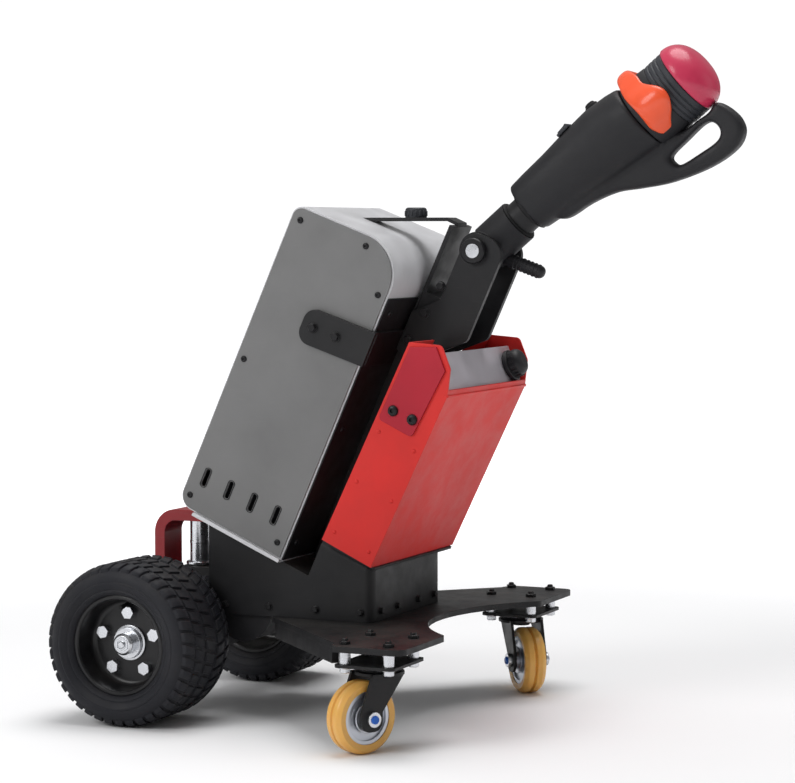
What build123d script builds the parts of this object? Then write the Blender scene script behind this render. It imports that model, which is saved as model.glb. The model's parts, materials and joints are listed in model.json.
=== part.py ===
from build123d import *

import os
from math import atan2, cos, degrees, radians, sin, tan

# Electric tow tractor, walked behind: drive wheels in front, swivel castors behind, housing leaning back.
# Millimetres, +Z up, +X to the rear where the driver walks, -Y is the machine's left. The floor is Z = 0.
# Everything is placed from the drive axle. The finished model is moved forward at the end, so that the origin
# lies on the floor below the middle of the overall length.

# Overall place
MIDDLE_BEHIND_AXLE = 345.5
SEAT = 0.2
SIDES = (("left", -1), ("right", 1))

# Drive wheels
TYRE_D = 226.0
TYRE_W = 140.0
WHEEL_TRACK = 400.0
TYRE_SHOULDER_R = 13.0
TYRE_SHOULDER = 20.0
TYRE_BEAD_IN = 12.0
TREAD_DEPTH = 3.0
TREAD_GROOVE_W = 4.0
TREAD_GROOVES_AT = (14.0, 42.0)
TREAD_NOTCHES = 20
TREAD_NOTCH_W = 5.0
RIM_D = 136.0
RIM_WALL = 5.0
RIM_RECESS = 46.0
RIM_DISC_T = 10.0
RIM_BOSS_L = 24.0
RIM_BEAD_IN = 14.0
HUB_D = 42.0
HUB_OUT = 24.0
AXLE_D = 26.0
AXLE_RUN_GAP = 0.05
WHEEL_NUT_PCD = 84.0
WHEEL_NUT_ACROSS = 16.0
WHEEL_NUT_H = 9.0
WHEEL_NUTS = 5

# Axle case
CASE_D = 72.0
CASE_BULB_D = 88.0
CASE_BULB_HALF = 56.0
CASE_HALF = 122.0
CASE_NECK_DROP = 16.0
CASE_NECK_TOP_X = 20.0
CASE_NECK_RISE = 30.0
CASE_NECK_R = 14.0

# Chassis plate
PLATE_BOTTOM = 136.0
PLATE_T = 8.0
NECK_HALF = 118.0
NECK_FRONT = 164.0
FLARE_START = 166.0
PAD_REAR = 450.0
PAD_HALF = 316.0
PAD_MARGIN = 4.0
PAD_STEP = 24.0
PAD_CORNER_R = 16.0
RIB_H = 20.0
RIB_T = 10.0
REAR_ARCH_HALF = 176.0
REAR_ARCH_X = 370.0

# Castors
CASTOR_X = 390.0
CASTOR_FROM_PAD_EDGE = 62.0
CASTOR_WHEEL_D = 96.0
CASTOR_WHEEL_W = 32.0
CASTOR_TREAD_T = 13.0
CASTOR_BOSS_R = 12.0
CASTOR_RIM_T = 5.0
CASTOR_TRAIL = 30.0
CASTOR_H = 118.0
CASTOR_PLATE_X = 86.0
CASTOR_PLATE_Y = 104.0
CASTOR_PLATE_T = 4.0
CASTOR_BOLT_X = 62.0
CASTOR_BOLT_Y = 80.0
CASTOR_STUD_D = 15.0
CASTOR_RACE_D = 66.0
CASTOR_RACE_H = 8.0
FORK_T = 4.0
FORK_GAP = 5.0
FORK_LEG_W = 34.0
KINGPIN_D = 16.0
CASTOR_AXLE_D = 12.0
RUN_GAP = 0.05
# Way each castor trails at rest, in degrees from the rear towards the machine's right
CASTOR_TRAIL_WAY = {"left": 241.0, "right": -51.0}

# The housing, column and battery share one lean, set out from the housing's lower front corner
LEAN = 24.0
LEAN_X = 21.0
LEAN_Z = 297.5
HOUSING_DEPTH = 177.0
HOUSING_H_FRONT = 458.0
HOUSING_H_REAR = 467.0
HOUSING_HALF = 128.0
COVER_T = 3.0
PANEL_T = 3.0
PANEL_INSET = 2.5
FRONT_TOP_R = 16.0
REAR_TOP_R = 58.0
FRONT_BOTTOM_R = 22.0
REAR_PANEL_T = 2.0
REAR_PANEL_TOP = 396.0
FLOOR_T = 4.0
FLOOR_FRONT = 30.0
FLOOR_LIP = 5.0
SLOT_L = 26.0
SLOT_W = 7.0
SLOT_HEIGHT = 53.0
SLOT_FIRST = 27.0
SLOT_PITCH = 39.5
SLOTS = 4
CONTROLLER_GAP = 24.0
CONTROLLER_H = 250.0

# Column behind the housing
COLUMN_GAP = 7.0
COLUMN_DEPTH = 36.0
COLUMN_HALF = 34.0
COLUMN_TOP = 410.0
COLUMN_FACE_T = 6.0
CROSS_T = 4.4
BRACE_X = 270.0
BRACE_T = 5.0
BRACE_HALF = 16.0
BRACE_PAST_POST = 5.0
BRACE_DIP = 5.2
KNOB_D = 30.0
KNOB_H = 14.0
KNOB_ALONG = 61.0
ARM_T = 8.0
ARM_W = 50.0
ARM_FRONT = 78.0
ARM_LOW = 314.0
ARM_RISE_DEG = 5.0

# Base housing
BASE_HALF = 118.0
BASE_WALL = 4.0
BASE_FRONT = 66.0
BASE_REAR = 318.0
BASE_EDGE_R = 12.0
SHELF_T = 6.0
SHELF_HALF = 134.0
MOTOR_D = 88.0
MOTOR_HALF = 112.0
MOTOR_X = 116.0
MOTOR_Z = 150.0
GEAR_HALF = 48.0
GEAR_LOW = 124.0
GEAR_TOP = 178.0

# Battery, carried on the shelf behind the column
BATTERY_LEAN = 1.6
BATTERY_FRONT = 228.0
BATTERY_FOOT = 59.0
BATTERY_DEPTH = 81.0
BATTERY_HALF = 143.0
BATTERY_H = 260.0
BATTERY_SHEET = 3.0
EAR_FRONT_H = 301.0
EAR_PEAK_H = 318.0
EAR_PEAK_S = 44.0
EAR_BACK_S = 69.0
EAR_BACK_H = 295.0
EAR_FROM_COLUMN = 30.0
LID_T = 4.0
LID_FRONT_H = 300.0
LID_FRONT_S = 34.0
CELL_GAP = 2.0
CELLS_BELOW_RIM = 30.0
SIDE_PLATE_T = 3.0
SIDE_PLATE_FOOT = 188.0
SIDE_PLATE_DEPTH = 64.0
SIDE_PLATE_EDGE = 5.0
PLUG_D = 38.0
PLUG_L = 26.0
PLUG_Y = 112.0

# Front hitch
HITCH_PIN_X = -12.0
HITCH_PIN_D = 28.0
HITCH_PIN_FOOT = 186.0
HITCH_JAW_T = 12.0
HITCH_JAW_TOP = 194.0
HITCH_JAW_NOSE = 20.0
HITCH_HALF = 26.0
HITCH_MAST_T = 12.0
HITCH_MAST_HALF = 40.0
HITCH_TOP = 276.0
HITCH_TOP_STEP = 4.0
HOOK_T = 16.0
HOOK_REACH = 72.0
HOOK_TIP_Z = 168.0
HOOK_BEND_R = 34.0
LATCH_BEFORE_PIN = 12.0
LATCH_L = 40.0
LATCH_H = 24.0
LATCH_HALF = 7.0

# Tiller
PIVOT_S = 235.0
PIVOT_T = 492.0
TILLER_ANGLE = 40.5
CHEEK_T = 8.0
CHEEK_FOOT = 320.0
CHEEK_BACK_FOOT = 374.0
CHEEK_BEFORE_PIN = 19.0
CHEEK_BEHIND_PIN = 40.0
CHEEK_OVER_PIN = 24.0
PIN_D = 20.0
PIN_HEAD_D = 32.0
PIN_HEAD_T = 8.0
KNUCKLE_R = 26.0
KNUCKLE_GAP = 0.5
SOCKET_R = 31.0
SOCKET_END = 62.0
TUBE_D = 50.0
TUBE_INTO_HEAD = 60.0
HEAD_START = 85.0
LEVER_D = 18.0
LEVER_L = 66.0
LEVER_DOWN_DEG = 20.0
LOOP_T = 30.0
LOOP_GAP = 1.0
LOOP_SLOT_L = 76.0
LOOP_SLOT_W = 28.0
THROTTLE_FROM = 203.0
THROTTLE_L = 45.0
THROTTLE_R = 52.0
THROTTLE_HALF_Y = 46.0
THROTTLE_WING = 14.0
WING_T = 16.0
COLLAR_L = 30.0
COLLAR_R = 50.0
DOME_R = 51.0
DOME_H = 38.0
HEAD_DROP = -13.0
# Sections of the head: distance along the tiller from its start, middle above the axis, height, width
HEAD_SECTIONS = (
    (0.0, 3.0, 74.0, 62.0),
    (40.0, 1.0, 80.0, 68.0),
    (150.0, -3.0, 104.0, 84.0),
    (203.0, -11.0, 104.0, 90.0),
)
# Outline of the hand loop: distance along the tiller from the head's start, height above the tiller's axis
LOOP_OUTLINE = (
    (22.0, -28.0),
    (40.0, -46.0),
    (78.0, -53.0),
    (112.0, -64.0),
    (180.0, -106.0),
    (240.0, -128.0),
    (292.0, -130.0),
    (306.0, -98.0),
    (292.0, -62.0),
)
LOOP_ROUNDS = (8.0, 12.0, 40.0, 60.0, 60.0, 40.0, 26.0, 24.0, 8.0)
LOOP_SLOT_AT = (236.0, -87.0)
LOOP_SLOT_TURN = -4.0

# Values worked out from the sizes above
AXLE_Z = TYRE_D / 2
WHEEL_MID = WHEEL_TRACK / 2
PLATE_TOP = PLATE_BOTTOM + PLATE_T
COLUMN_FRONT = HOUSING_DEPTH + COLUMN_GAP
COLUMN_REAR = COLUMN_FRONT + COLUMN_DEPTH
CASTOR_Y = PAD_HALF - CASTOR_FROM_PAD_EDGE
CASTOR_AXLE_Z = CASTOR_WHEEL_D / 2
BATTERY_REAR = BATTERY_FRONT + BATTERY_DEPTH
CHEEK_INNER = COLUMN_HALF
SHAPES = {}


def keep(node, shape):
    """Moves a finished piece to the part's own origin and keeps it under its node's name."""
    SHAPES[node] = Pos(-MIDDLE_BEHIND_AXLE, 0, 0) * shape


def lean_frame():
    """Frame of the leaning pieces: x is depth to the rear, z is height along the housing."""
    return Location((LEAN_X, 0, LEAN_Z), (0, LEAN, 0))


def leaned(depth, height):
    """World X and Z of a point given by its depth and height in the leaning frame."""
    turn = radians(LEAN)
    x = LEAN_X + depth * cos(turn) + height * sin(turn)
    z = LEAN_Z - depth * sin(turn) + height * cos(turn)
    return x, z


def battery_frame():
    """Frame of the battery's lower front edge, leaning back a little more than the housing."""
    return lean_frame() * Location((BATTERY_FRONT, 0, BATTERY_FOOT), (0, BATTERY_LEAN, 0))


def tiller_frame():
    """Frame of the tiller: x runs up along its tube from the pivot, z is square to it."""
    x, z = leaned(PIVOT_S, PIVOT_T)
    return Location((x, 0, z), (0, -TILLER_ANGLE, 0))


def slab(points, y_low, y_high, radii=None):
    """A plate whose side outline is in the XZ plane, from y_low to y_high, some corners rounded."""
    outline = make_face(Polyline(*points, close=True))
    for (x, y), radius in (radii or {}).items():
        corner = outline.vertices().sort_by_distance((x, y, 0))[0]
        outline = fillet(corner, radius)
    return Pos(0, y_high, 0) * extrude(Plane.XZ * outline, y_high - y_low)


def y_cylinder(radius, y_low, y_high, x=0.0, z=0.0):
    """A round bar across the machine."""
    bar = Rot(90, 0, 0) * Cylinder(radius, y_high - y_low)
    return Pos(x, (y_low + y_high) / 2, z) * bar


def x_cylinder(radius, x_low, x_high, y=0.0, z=0.0):
    """A round bar along the machine, or along the tiller in the tiller's frame."""
    bar = Rot(0, 90, 0) * Cylinder(radius, x_high - x_low)
    return Pos((x_low + x_high) / 2, y, z) * bar


def z_cylinder(radius, z_low, z_high, x=0.0, y=0.0):
    """An upright round bar."""
    return Pos(x, y, (z_low + z_high) / 2) * Cylinder(radius, z_high - z_low)


def wheel_turned(points, radii=None):
    """A ring turned about the Y axis from points of radius and distance along it."""
    outline = make_face(Polyline(*points, close=True))
    for (x, y), radius in (radii or {}).items():
        corner = outline.vertices().sort_by_distance((x, y, 0))[0]
        outline = fillet(corner, radius)
    return Rot(-90, 0, 0) * revolve(Plane.XZ * outline, Axis.Z)


def tread_notches():
    """Bars that cut the cross grooves: between the tread's ring grooves, and over both shoulders."""
    half = TYRE_W / 2
    bottom = TYRE_D / 2 - TREAD_DEPTH
    inner_groove, outer_groove = TREAD_GROOVES_AT
    step = 360 / TREAD_NOTCHES
    rows = ((inner_groove, outer_groove, step / 2), (outer_groove, half, 0))
    bars = []
    for start, end, shift in rows:
        bar = Box(TREAD_NOTCH_W, end - start, 2 * TREAD_DEPTH)
        for sign in (-1, 1):
            place = Pos(0, sign * (start + end) / 2, bottom + TREAD_DEPTH)
            for index in range(TREAD_NOTCHES):
                bars.append(Rot(0, index * step + shift, 0) * place * bar)
    return Compound(bars)


def drive_tyre():
    """Broad cushion tyre with round shoulders and blocks cut in its tread, about its own middle."""
    half = TYRE_W / 2
    outer = TYRE_D / 2
    inner = RIM_D / 2 + SEAT
    bottom = outer - TREAD_DEPTH
    bead = half - TYRE_BEAD_IN
    crown = []
    for middle in sorted([sign * at for sign in (-1, 1) for at in TREAD_GROOVES_AT]):
        low, high = middle - TREAD_GROOVE_W / 2, middle + TREAD_GROOVE_W / 2
        crown += [(outer, low), (bottom, low), (bottom, high), (outer, high)]
    wall = outer - TYRE_SHOULDER
    shoulders = [(outer, -half + TYRE_SHOULDER), (outer, half - TYRE_SHOULDER)]
    points = [(inner, -bead), (inner + 10, -half + 3), (wall, -half), shoulders[0]] + crown
    points += [shoulders[1], (wall, half), (inner + 10, half - 3), (inner, bead)]
    rounded = {
        (wall, -half): TYRE_SHOULDER_R * 0.7, shoulders[0]: TYRE_SHOULDER_R,
        shoulders[1]: TYRE_SHOULDER_R, (wall, half): TYRE_SHOULDER_R * 0.7,
    }
    return wheel_turned(points, rounded) - tread_notches()


def drive_rim():
    """Dished rim with its bore for the axle shaft. The deep recess faces outwards, along +Y here."""
    half = TYRE_W / 2 - RIM_BEAD_IN
    outer = RIM_D / 2
    wall = outer - RIM_WALL
    disc_out = TYRE_W / 2 - RIM_RECESS
    disc_in = disc_out - RIM_DISC_T
    boss = HUB_D / 2 + 6
    bore = AXLE_D / 2 + SEAT
    points = [
        (outer, -half), (outer, half), (wall, half), (wall - 4, disc_out), (bore, disc_out),
        (bore, disc_in - RIM_BOSS_L), (boss, disc_in - RIM_BOSS_L), (boss, disc_in), (wall - 4, disc_in), (wall, -half),
    ]
    return wheel_turned(points, {points[3]: 8.0, points[8]: 8.0})


def wheel_hub():
    """Bright hub cap and wheel nuts, seated on the rim's disc."""
    disc_out = TYRE_W / 2 - RIM_RECESS
    flange = y_cylinder(HUB_D / 2, disc_out, disc_out + 10)
    nose = y_cylinder(HUB_D / 2 - 6, disc_out + 10, disc_out + HUB_OUT)
    nose = chamfer(nose.edges().sort_by(Axis.Y)[-1], 3)
    hub = flange + nose
    nut_face = Plane.XZ * RegularPolygon(WHEEL_NUT_ACROSS / 2, 6, major_radius=False)
    nut = Pos(0, disc_out + WHEEL_NUT_H, 0) * extrude(nut_face, WHEEL_NUT_H)
    nuts = []
    for index in range(WHEEL_NUTS):
        turn = Rot(0, 360 / WHEEL_NUTS * index, 0)
        nuts.append(turn * Pos(0, 0, WHEEL_NUT_PCD / 2) * nut)
    return Compound([hub] + nuts)


def axle_shaft():
    """Drive shaft from the rim's bore into the axle case."""
    disc_out = TYRE_W / 2 - RIM_RECESS
    inner_end = CASE_BULB_HALF + 6 - WHEEL_MID
    return y_cylinder(AXLE_D / 2, inner_end, disc_out - SEAT)


def drive_wheels():
    for side, sign in SIDES:
        turn = Rot(0, 0, 180) if sign < 0 else Rot(0, 0, 0)
        place = Pos(0, sign * WHEEL_MID, AXLE_Z) * turn
        keep("drive_tyre_" + side, place * drive_tyre())
        keep("drive_rim_" + side, place * drive_rim())
        keep("wheel_hub_" + side, place * wheel_hub())
        keep("axle_shaft_" + side, place * axle_shaft())


def axle_case():
    """Cast case with a round bulb, two axle tubes and a gear neck bolted to the base's front wall."""
    tubes = y_cylinder(CASE_D / 2, -CASE_HALF, CASE_HALF, 0, AXLE_Z)
    bulb = y_cylinder(CASE_BULB_D / 2, -CASE_BULB_HALF, CASE_BULB_HALF, 0, AXLE_Z)
    bulb = fillet(bulb.edges(), 8)
    neck_points = [
        (0, GEAR_LOW - CASE_NECK_DROP), (BASE_FRONT, GEAR_LOW), (BASE_FRONT, GEAR_TOP),
        (CASE_NECK_TOP_X, GEAR_TOP), (0, AXLE_Z + CASE_NECK_RISE),
    ]
    neck = slab(neck_points, -GEAR_HALF, GEAR_HALF, {neck_points[3]: CASE_NECK_R})
    bore = y_cylinder(AXLE_D / 2 + AXLE_RUN_GAP, -CASE_HALF - 1, CASE_HALF + 1, 0, AXLE_Z)
    keep("axle_case", tubes + bulb + neck - bore)


def chassis_plate():
    """Thick plate: narrow between the drive wheels, flaring to a pad over each castor."""
    pad_front = CASTOR_X - CASTOR_PLATE_X / 2 - PAD_MARGIN
    edge = [
        (NECK_FRONT, NECK_HALF), (FLARE_START, NECK_HALF), (pad_front, PAD_HALF - PAD_STEP),
        (pad_front + 8, PAD_HALF), (PAD_REAR, PAD_HALF), (PAD_REAR, REAR_ARCH_HALF),
    ]
    mirrored = [(x, -y) for x, y in reversed(edge)]
    sides = Polyline(*edge)
    arch = ThreePointArc(edge[-1], (REAR_ARCH_X, 0), mirrored[0])
    other = Polyline(*mirrored)
    front = Line(mirrored[-1], edge[0])
    outline = make_face([sides, arch, other, front])
    for sign in (1, -1):
        for x, y in ((PAD_REAR, PAD_HALF), (PAD_REAR, REAR_ARCH_HALF)):
            corner = outline.vertices().sort_by_distance((x, sign * y, 0))[0]
            outline = fillet(corner, PAD_CORNER_R)
    keep("chassis_plate", Pos(0, 0, PLATE_BOTTOM) * extrude(outline, PLATE_T))
    run_x = pad_front - FLARE_START
    run_y = PAD_HALF - PAD_STEP - NECK_HALF
    length = (run_x ** 2 + run_y ** 2) ** 0.5
    turn = degrees(atan2(run_y, run_x))
    for side, sign in SIDES:
        rib = Pos(length / 2, -sign * RIB_T / 2, -RIB_H / 2) * Box(length - 2 * RIB_T, RIB_T, RIB_H)
        flare = Pos(FLARE_START, sign * NECK_HALF, PLATE_BOTTOM) * Rot(0, 0, sign * turn)
        keep("plate_rib_" + side, flare * rib)


def base_housing():
    """Black housing over the motor, with the lean's planes as its roof."""
    floor_under = -FLOOR_T
    shelf_under = BATTERY_FOOT - SHELF_T
    shelf_start = COLUMN_REAR + SEAT
    turn = tan(radians(LEAN))
    roof_x, roof_z = leaned(0, floor_under)
    front_top = roof_z - (BASE_FRONT - roof_x) * turn
    shelf_x, shelf_z = leaned(shelf_start, shelf_under)
    rear_top = shelf_z - (BASE_REAR - shelf_x) * turn
    valley = leaned(shelf_start, floor_under)
    outer = [
        (BASE_FRONT, PLATE_TOP), (BASE_FRONT, front_top), valley, (shelf_x, shelf_z),
        (BASE_REAR, rear_top), (BASE_REAR, PLATE_TOP),
    ]
    wall = BASE_WALL
    drop = wall / cos(radians(LEAN))
    inner = [
        (BASE_FRONT + wall, PLATE_TOP - 1), (BASE_FRONT + wall, front_top - drop - wall * turn),
        (valley[0] + wall * 0.6, valley[1] - drop), (shelf_x + wall, shelf_z - drop),
        (BASE_REAR - wall, rear_top - drop + wall * turn), (BASE_REAR - wall, PLATE_TOP - 1),
    ]
    body = slab(outer, -BASE_HALF, BASE_HALF, {outer[4]: BASE_EDGE_R})
    upright = body.edges().filter_by(Axis.Z).group_by(Axis.X)[-1]
    body = fillet(upright, BASE_EDGE_R)
    hollow = slab(inner, -BASE_HALF + wall, BASE_HALF - wall)
    keep("base_housing", body - hollow)
    motor = y_cylinder(MOTOR_D / 2, -MOTOR_HALF, MOTOR_HALF, MOTOR_X, MOTOR_Z)
    gear_front = BASE_FRONT + BASE_WALL
    gear_points = [(gear_front, GEAR_LOW), (MOTOR_X, GEAR_LOW), (MOTOR_X, GEAR_TOP), (gear_front, GEAR_TOP)]
    keep("drive_motor", motor + slab(gear_points, -GEAR_HALF, GEAR_HALF))
    shelf_low, shelf_high = shelf_under, BATTERY_FOOT
    shelf_points = [
        (BATTERY_FRONT - 1, shelf_low), (BATTERY_REAR + 3, shelf_low),
        (BATTERY_REAR + 3, shelf_high - (BATTERY_DEPTH + 3) * tan(radians(BATTERY_LEAN))),
        (BATTERY_FRONT, shelf_high), (BATTERY_FRONT - 1, shelf_high),
    ]
    keep("battery_shelf", lean_frame() * slab(shelf_points, -SHELF_HALF, SHELF_HALF))


def housing_outline(inset):
    """Side outline of the housing in the leaning frame, drawn inwards by an inset."""
    slope = (HOUSING_H_REAR - HOUSING_H_FRONT) / HOUSING_DEPTH
    low, left, right = inset, inset, HOUSING_DEPTH - inset
    top_left = HOUSING_H_FRONT - inset + slope * inset
    top_right = HOUSING_H_REAR - inset - slope * inset
    points = [(left, low), (left, top_left), (right, top_right), (right, low)]
    rounded = {
        points[0]: FRONT_BOTTOM_R - inset, points[1]: FRONT_TOP_R - inset, points[2]: REAR_TOP_R - inset,
    }
    return points, rounded


def housing():
    """Silver cover as a bent strip, grey side panels that close it, and its bright floor plate."""
    half = HOUSING_HALF - PANEL_T
    outer = slab(housing_outline(0)[0], -half, half, housing_outline(0)[1])
    hollow = slab(housing_outline(COVER_T)[0], -half - 1, half + 1, housing_outline(COVER_T)[1])
    keep("body_cover", lean_frame() * (outer - hollow))
    for side, sign in SIDES:
        low, high = sorted((sign * half, sign * HOUSING_HALF))
        points, rounded = housing_outline(PANEL_INSET)
        panel = slab(points, low, high, rounded)
        slot = extrude(Plane.XZ * SlotOverall(SLOT_L, SLOT_W, rotation=90), PANEL_T, both=True)
        for index in range(SLOTS):
            panel -= Pos(SLOT_FIRST + SLOT_PITCH * index, (low + high) / 2, SLOT_HEIGHT) * slot
        keep("side_panel_" + side, lean_frame() * panel)
    panel_low = HOUSING_DEPTH + SEAT
    panel_high = panel_low + REAR_PANEL_T
    rear_points = [
        (panel_low, SEAT), (panel_high, SEAT), (panel_high, REAR_PANEL_TOP), (panel_low, REAR_PANEL_TOP),
    ]
    keep("rear_panel", lean_frame() * slab(rear_points, -half, half))
    floor_points = [(FLOOR_FRONT, -FLOOR_T), (HOUSING_DEPTH, -FLOOR_T), (HOUSING_DEPTH, 0), (FLOOR_FRONT, 0)]
    floor_half = HOUSING_HALF + FLOOR_LIP
    keep("housing_floor", lean_frame() * slab(floor_points, -floor_half, floor_half))
    inside = half - CONTROLLER_GAP
    block_depth = HOUSING_DEPTH - 2 * CONTROLLER_GAP
    block = Box(block_depth, 2 * inside, CONTROLLER_H)
    keep("traction_battery", lean_frame() * Pos(HOUSING_DEPTH / 2, 0, COVER_T + CONTROLLER_H / 2) * block)


def arm_middle(depth):
    """Height of an arm's middle line at a depth in the leaning frame."""
    return ARM_LOW + (depth - ARM_FRONT) * tan(radians(ARM_RISE_DEG))


def roof_line():
    """World X and Z of the cover roof's front corner, and its fall to the rear per millimetre."""
    front_x, front_z = leaned(0, HOUSING_H_FRONT)
    rear_x, rear_z = leaned(HOUSING_DEPTH, HOUSING_H_REAR)
    return front_x, front_z, (front_z - rear_z) / (rear_x - front_x)


def brace_under():
    """World height of the top brace's underside, where it starts on the roof."""
    front_x, front_z, fall = roof_line()
    return front_z - (BRACE_X - front_x) * fall + SEAT


def face_top():
    """Height in the leaning frame of the column's face plate, just below the top brace."""
    turn = radians(LEAN)
    return (brace_under() - BRACE_DIP - LEAN_Z + COLUMN_FRONT * sin(turn)) / cos(turn)


def column():
    """Rear column, its cross plate, and the arms that reach forward along the housing's sides."""
    column_points = [
        (COLUMN_FRONT, -FLOOR_T), (COLUMN_REAR, -FLOOR_T), (COLUMN_REAR, COLUMN_TOP),
        (COLUMN_FRONT, COLUMN_TOP),
    ]
    post = slab(column_points, -COLUMN_HALF, COLUMN_HALF)
    face_points = [
        (COLUMN_FRONT, COLUMN_TOP - 1), (COLUMN_FRONT + COLUMN_FACE_T, COLUMN_TOP - 1),
        (COLUMN_FRONT + COLUMN_FACE_T, face_top()), (COLUMN_FRONT, face_top()),
    ]
    face = slab(face_points, -COLUMN_HALF + SEAT, COLUMN_HALF - SEAT)
    keep("rear_column", lean_frame() * (post + face))
    cross_low = arm_middle(COLUMN_FRONT) - ARM_W / 2
    cross_high = arm_middle(COLUMN_FRONT) + ARM_W / 2
    cross_points = [
        (COLUMN_FRONT - CROSS_T, cross_low), (COLUMN_FRONT, cross_low), (COLUMN_FRONT, cross_high),
        (COLUMN_FRONT - CROSS_T, cross_high),
    ]
    keep("cross_plate", lean_frame() * slab(cross_points, -HOUSING_HALF, HOUSING_HALF))
    for side, sign in SIDES:
        low, high = sorted((sign * HOUSING_HALF, sign * (HOUSING_HALF + ARM_T)))
        points = [
            (ARM_FRONT, ARM_LOW - ARM_W / 2), (COLUMN_FRONT, cross_low), (COLUMN_FRONT, cross_high),
            (ARM_FRONT, ARM_LOW + ARM_W / 2),
        ]
        corner = ARM_W * 0.35
        arm = slab(points, low, high, {points[0]: corner, points[3]: corner})
        keep("housing_arm_" + side, lean_frame() * arm)


def top_brace():
    """Flat bar from the cover's top over to the column's top, with a hand knob on it."""
    fall = roof_line()[2]
    under = brace_under()
    over = under + BRACE_T
    post_x, post_z = leaned(COLUMN_FRONT, face_top())
    lean = tan(radians(LEAN))
    bend_x = post_x - (BRACE_DIP - SEAT) / lean
    end_x = post_x + BRACE_PAST_POST
    end_z = post_z + SEAT - BRACE_PAST_POST * lean
    nose_x = BRACE_X - BRACE_T / fall
    points = [
        (BRACE_X, under), (bend_x, under), (end_x, end_z), (end_x, end_z + BRACE_T), (bend_x, over),
        (nose_x, over),
    ]
    keep("top_brace", slab(points, -BRACE_HALF, BRACE_HALF))
    knob = z_cylinder(KNOB_D / 2, over, over + KNOB_H, BRACE_X + KNOB_ALONG)
    knob = fillet(knob.edges().sort_by(Axis.Z)[-1], 4)
    keep("brace_knob", knob)


def battery():
    """Red sheet tray with raised ears, silver lid, side plates and the block of cells."""
    sheet = BATTERY_SHEET
    place = battery_frame()
    ear = [
        (0, 0), (BATTERY_DEPTH, 0), (BATTERY_DEPTH, BATTERY_H), (EAR_BACK_S, EAR_BACK_H),
        (EAR_PEAK_S, EAR_PEAK_H), (0, EAR_FRONT_H),
    ]
    solid = slab(ear, -BATTERY_HALF, BATTERY_HALF, {ear[3]: 8.0, ear[4]: 8.0})
    rear = BATTERY_DEPTH - sheet
    above = max(EAR_FRONT_H, EAR_PEAK_H, EAR_BACK_H) + 1
    inside = BATTERY_HALF - sheet
    room = slab([(sheet, sheet), (rear, sheet), (rear, above), (sheet, above)], -inside, inside)
    cut_half = COLUMN_HALF + EAR_FROM_COLUMN
    cut_points = [(-1, BATTERY_H), (sheet + 1, BATTERY_H), (sheet + 1, above), (-1, above)]
    keep("battery_tray", place * (solid - room - slab(cut_points, -cut_half, cut_half)))
    cell_h = BATTERY_H - CELLS_BELOW_RIM
    cell_depth = BATTERY_DEPTH - 2 * sheet - 2 * CELL_GAP
    cells = Box(cell_depth, 2 * (inside - CELL_GAP), cell_h)
    keep("battery_cells", place * Pos(BATTERY_DEPTH / 2, 0, sheet + cell_h / 2) * cells)
    lid = [
        (LID_FRONT_S, LID_FRONT_H - LID_T), (rear, BATTERY_H - LID_T), (rear, BATTERY_H),
        (LID_FRONT_S, LID_FRONT_H),
    ]
    keep("battery_lid", place * slab(lid, -inside, inside))
    for side, sign in SIDES:
        low, high = sorted((sign * BATTERY_HALF, sign * (BATTERY_HALF + SIDE_PLATE_T)))
        edge = SIDE_PLATE_EDGE
        plate = [
            (edge, SIDE_PLATE_FOOT), (SIDE_PLATE_DEPTH - edge, SIDE_PLATE_FOOT),
            (SIDE_PLATE_DEPTH, EAR_BACK_H - edge), (EAR_PEAK_S - edge, EAR_PEAK_H - edge),
            (edge, EAR_FRONT_H - edge),
        ]
        keep("battery_side_" + side, place * slab(plate, low, high, {plate[0]: 6.0, plate[1]: 6.0}))
    lid_fall = degrees(atan2(LID_FRONT_H - BATTERY_H, rear - LID_FRONT_S))
    lid_middle = ((LID_FRONT_S + rear) / 2, (LID_FRONT_H + BATTERY_H) / 2)
    plug = z_cylinder(PLUG_D / 2, 0, PLUG_L)
    plug = fillet(plug.edges().sort_by(Axis.Z)[-1], 10)
    plug = Pos(lid_middle[0], PLUG_Y, lid_middle[1]) * Rot(0, lid_fall, 0) * plug
    keep("battery_plug", place * plug)


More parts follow.
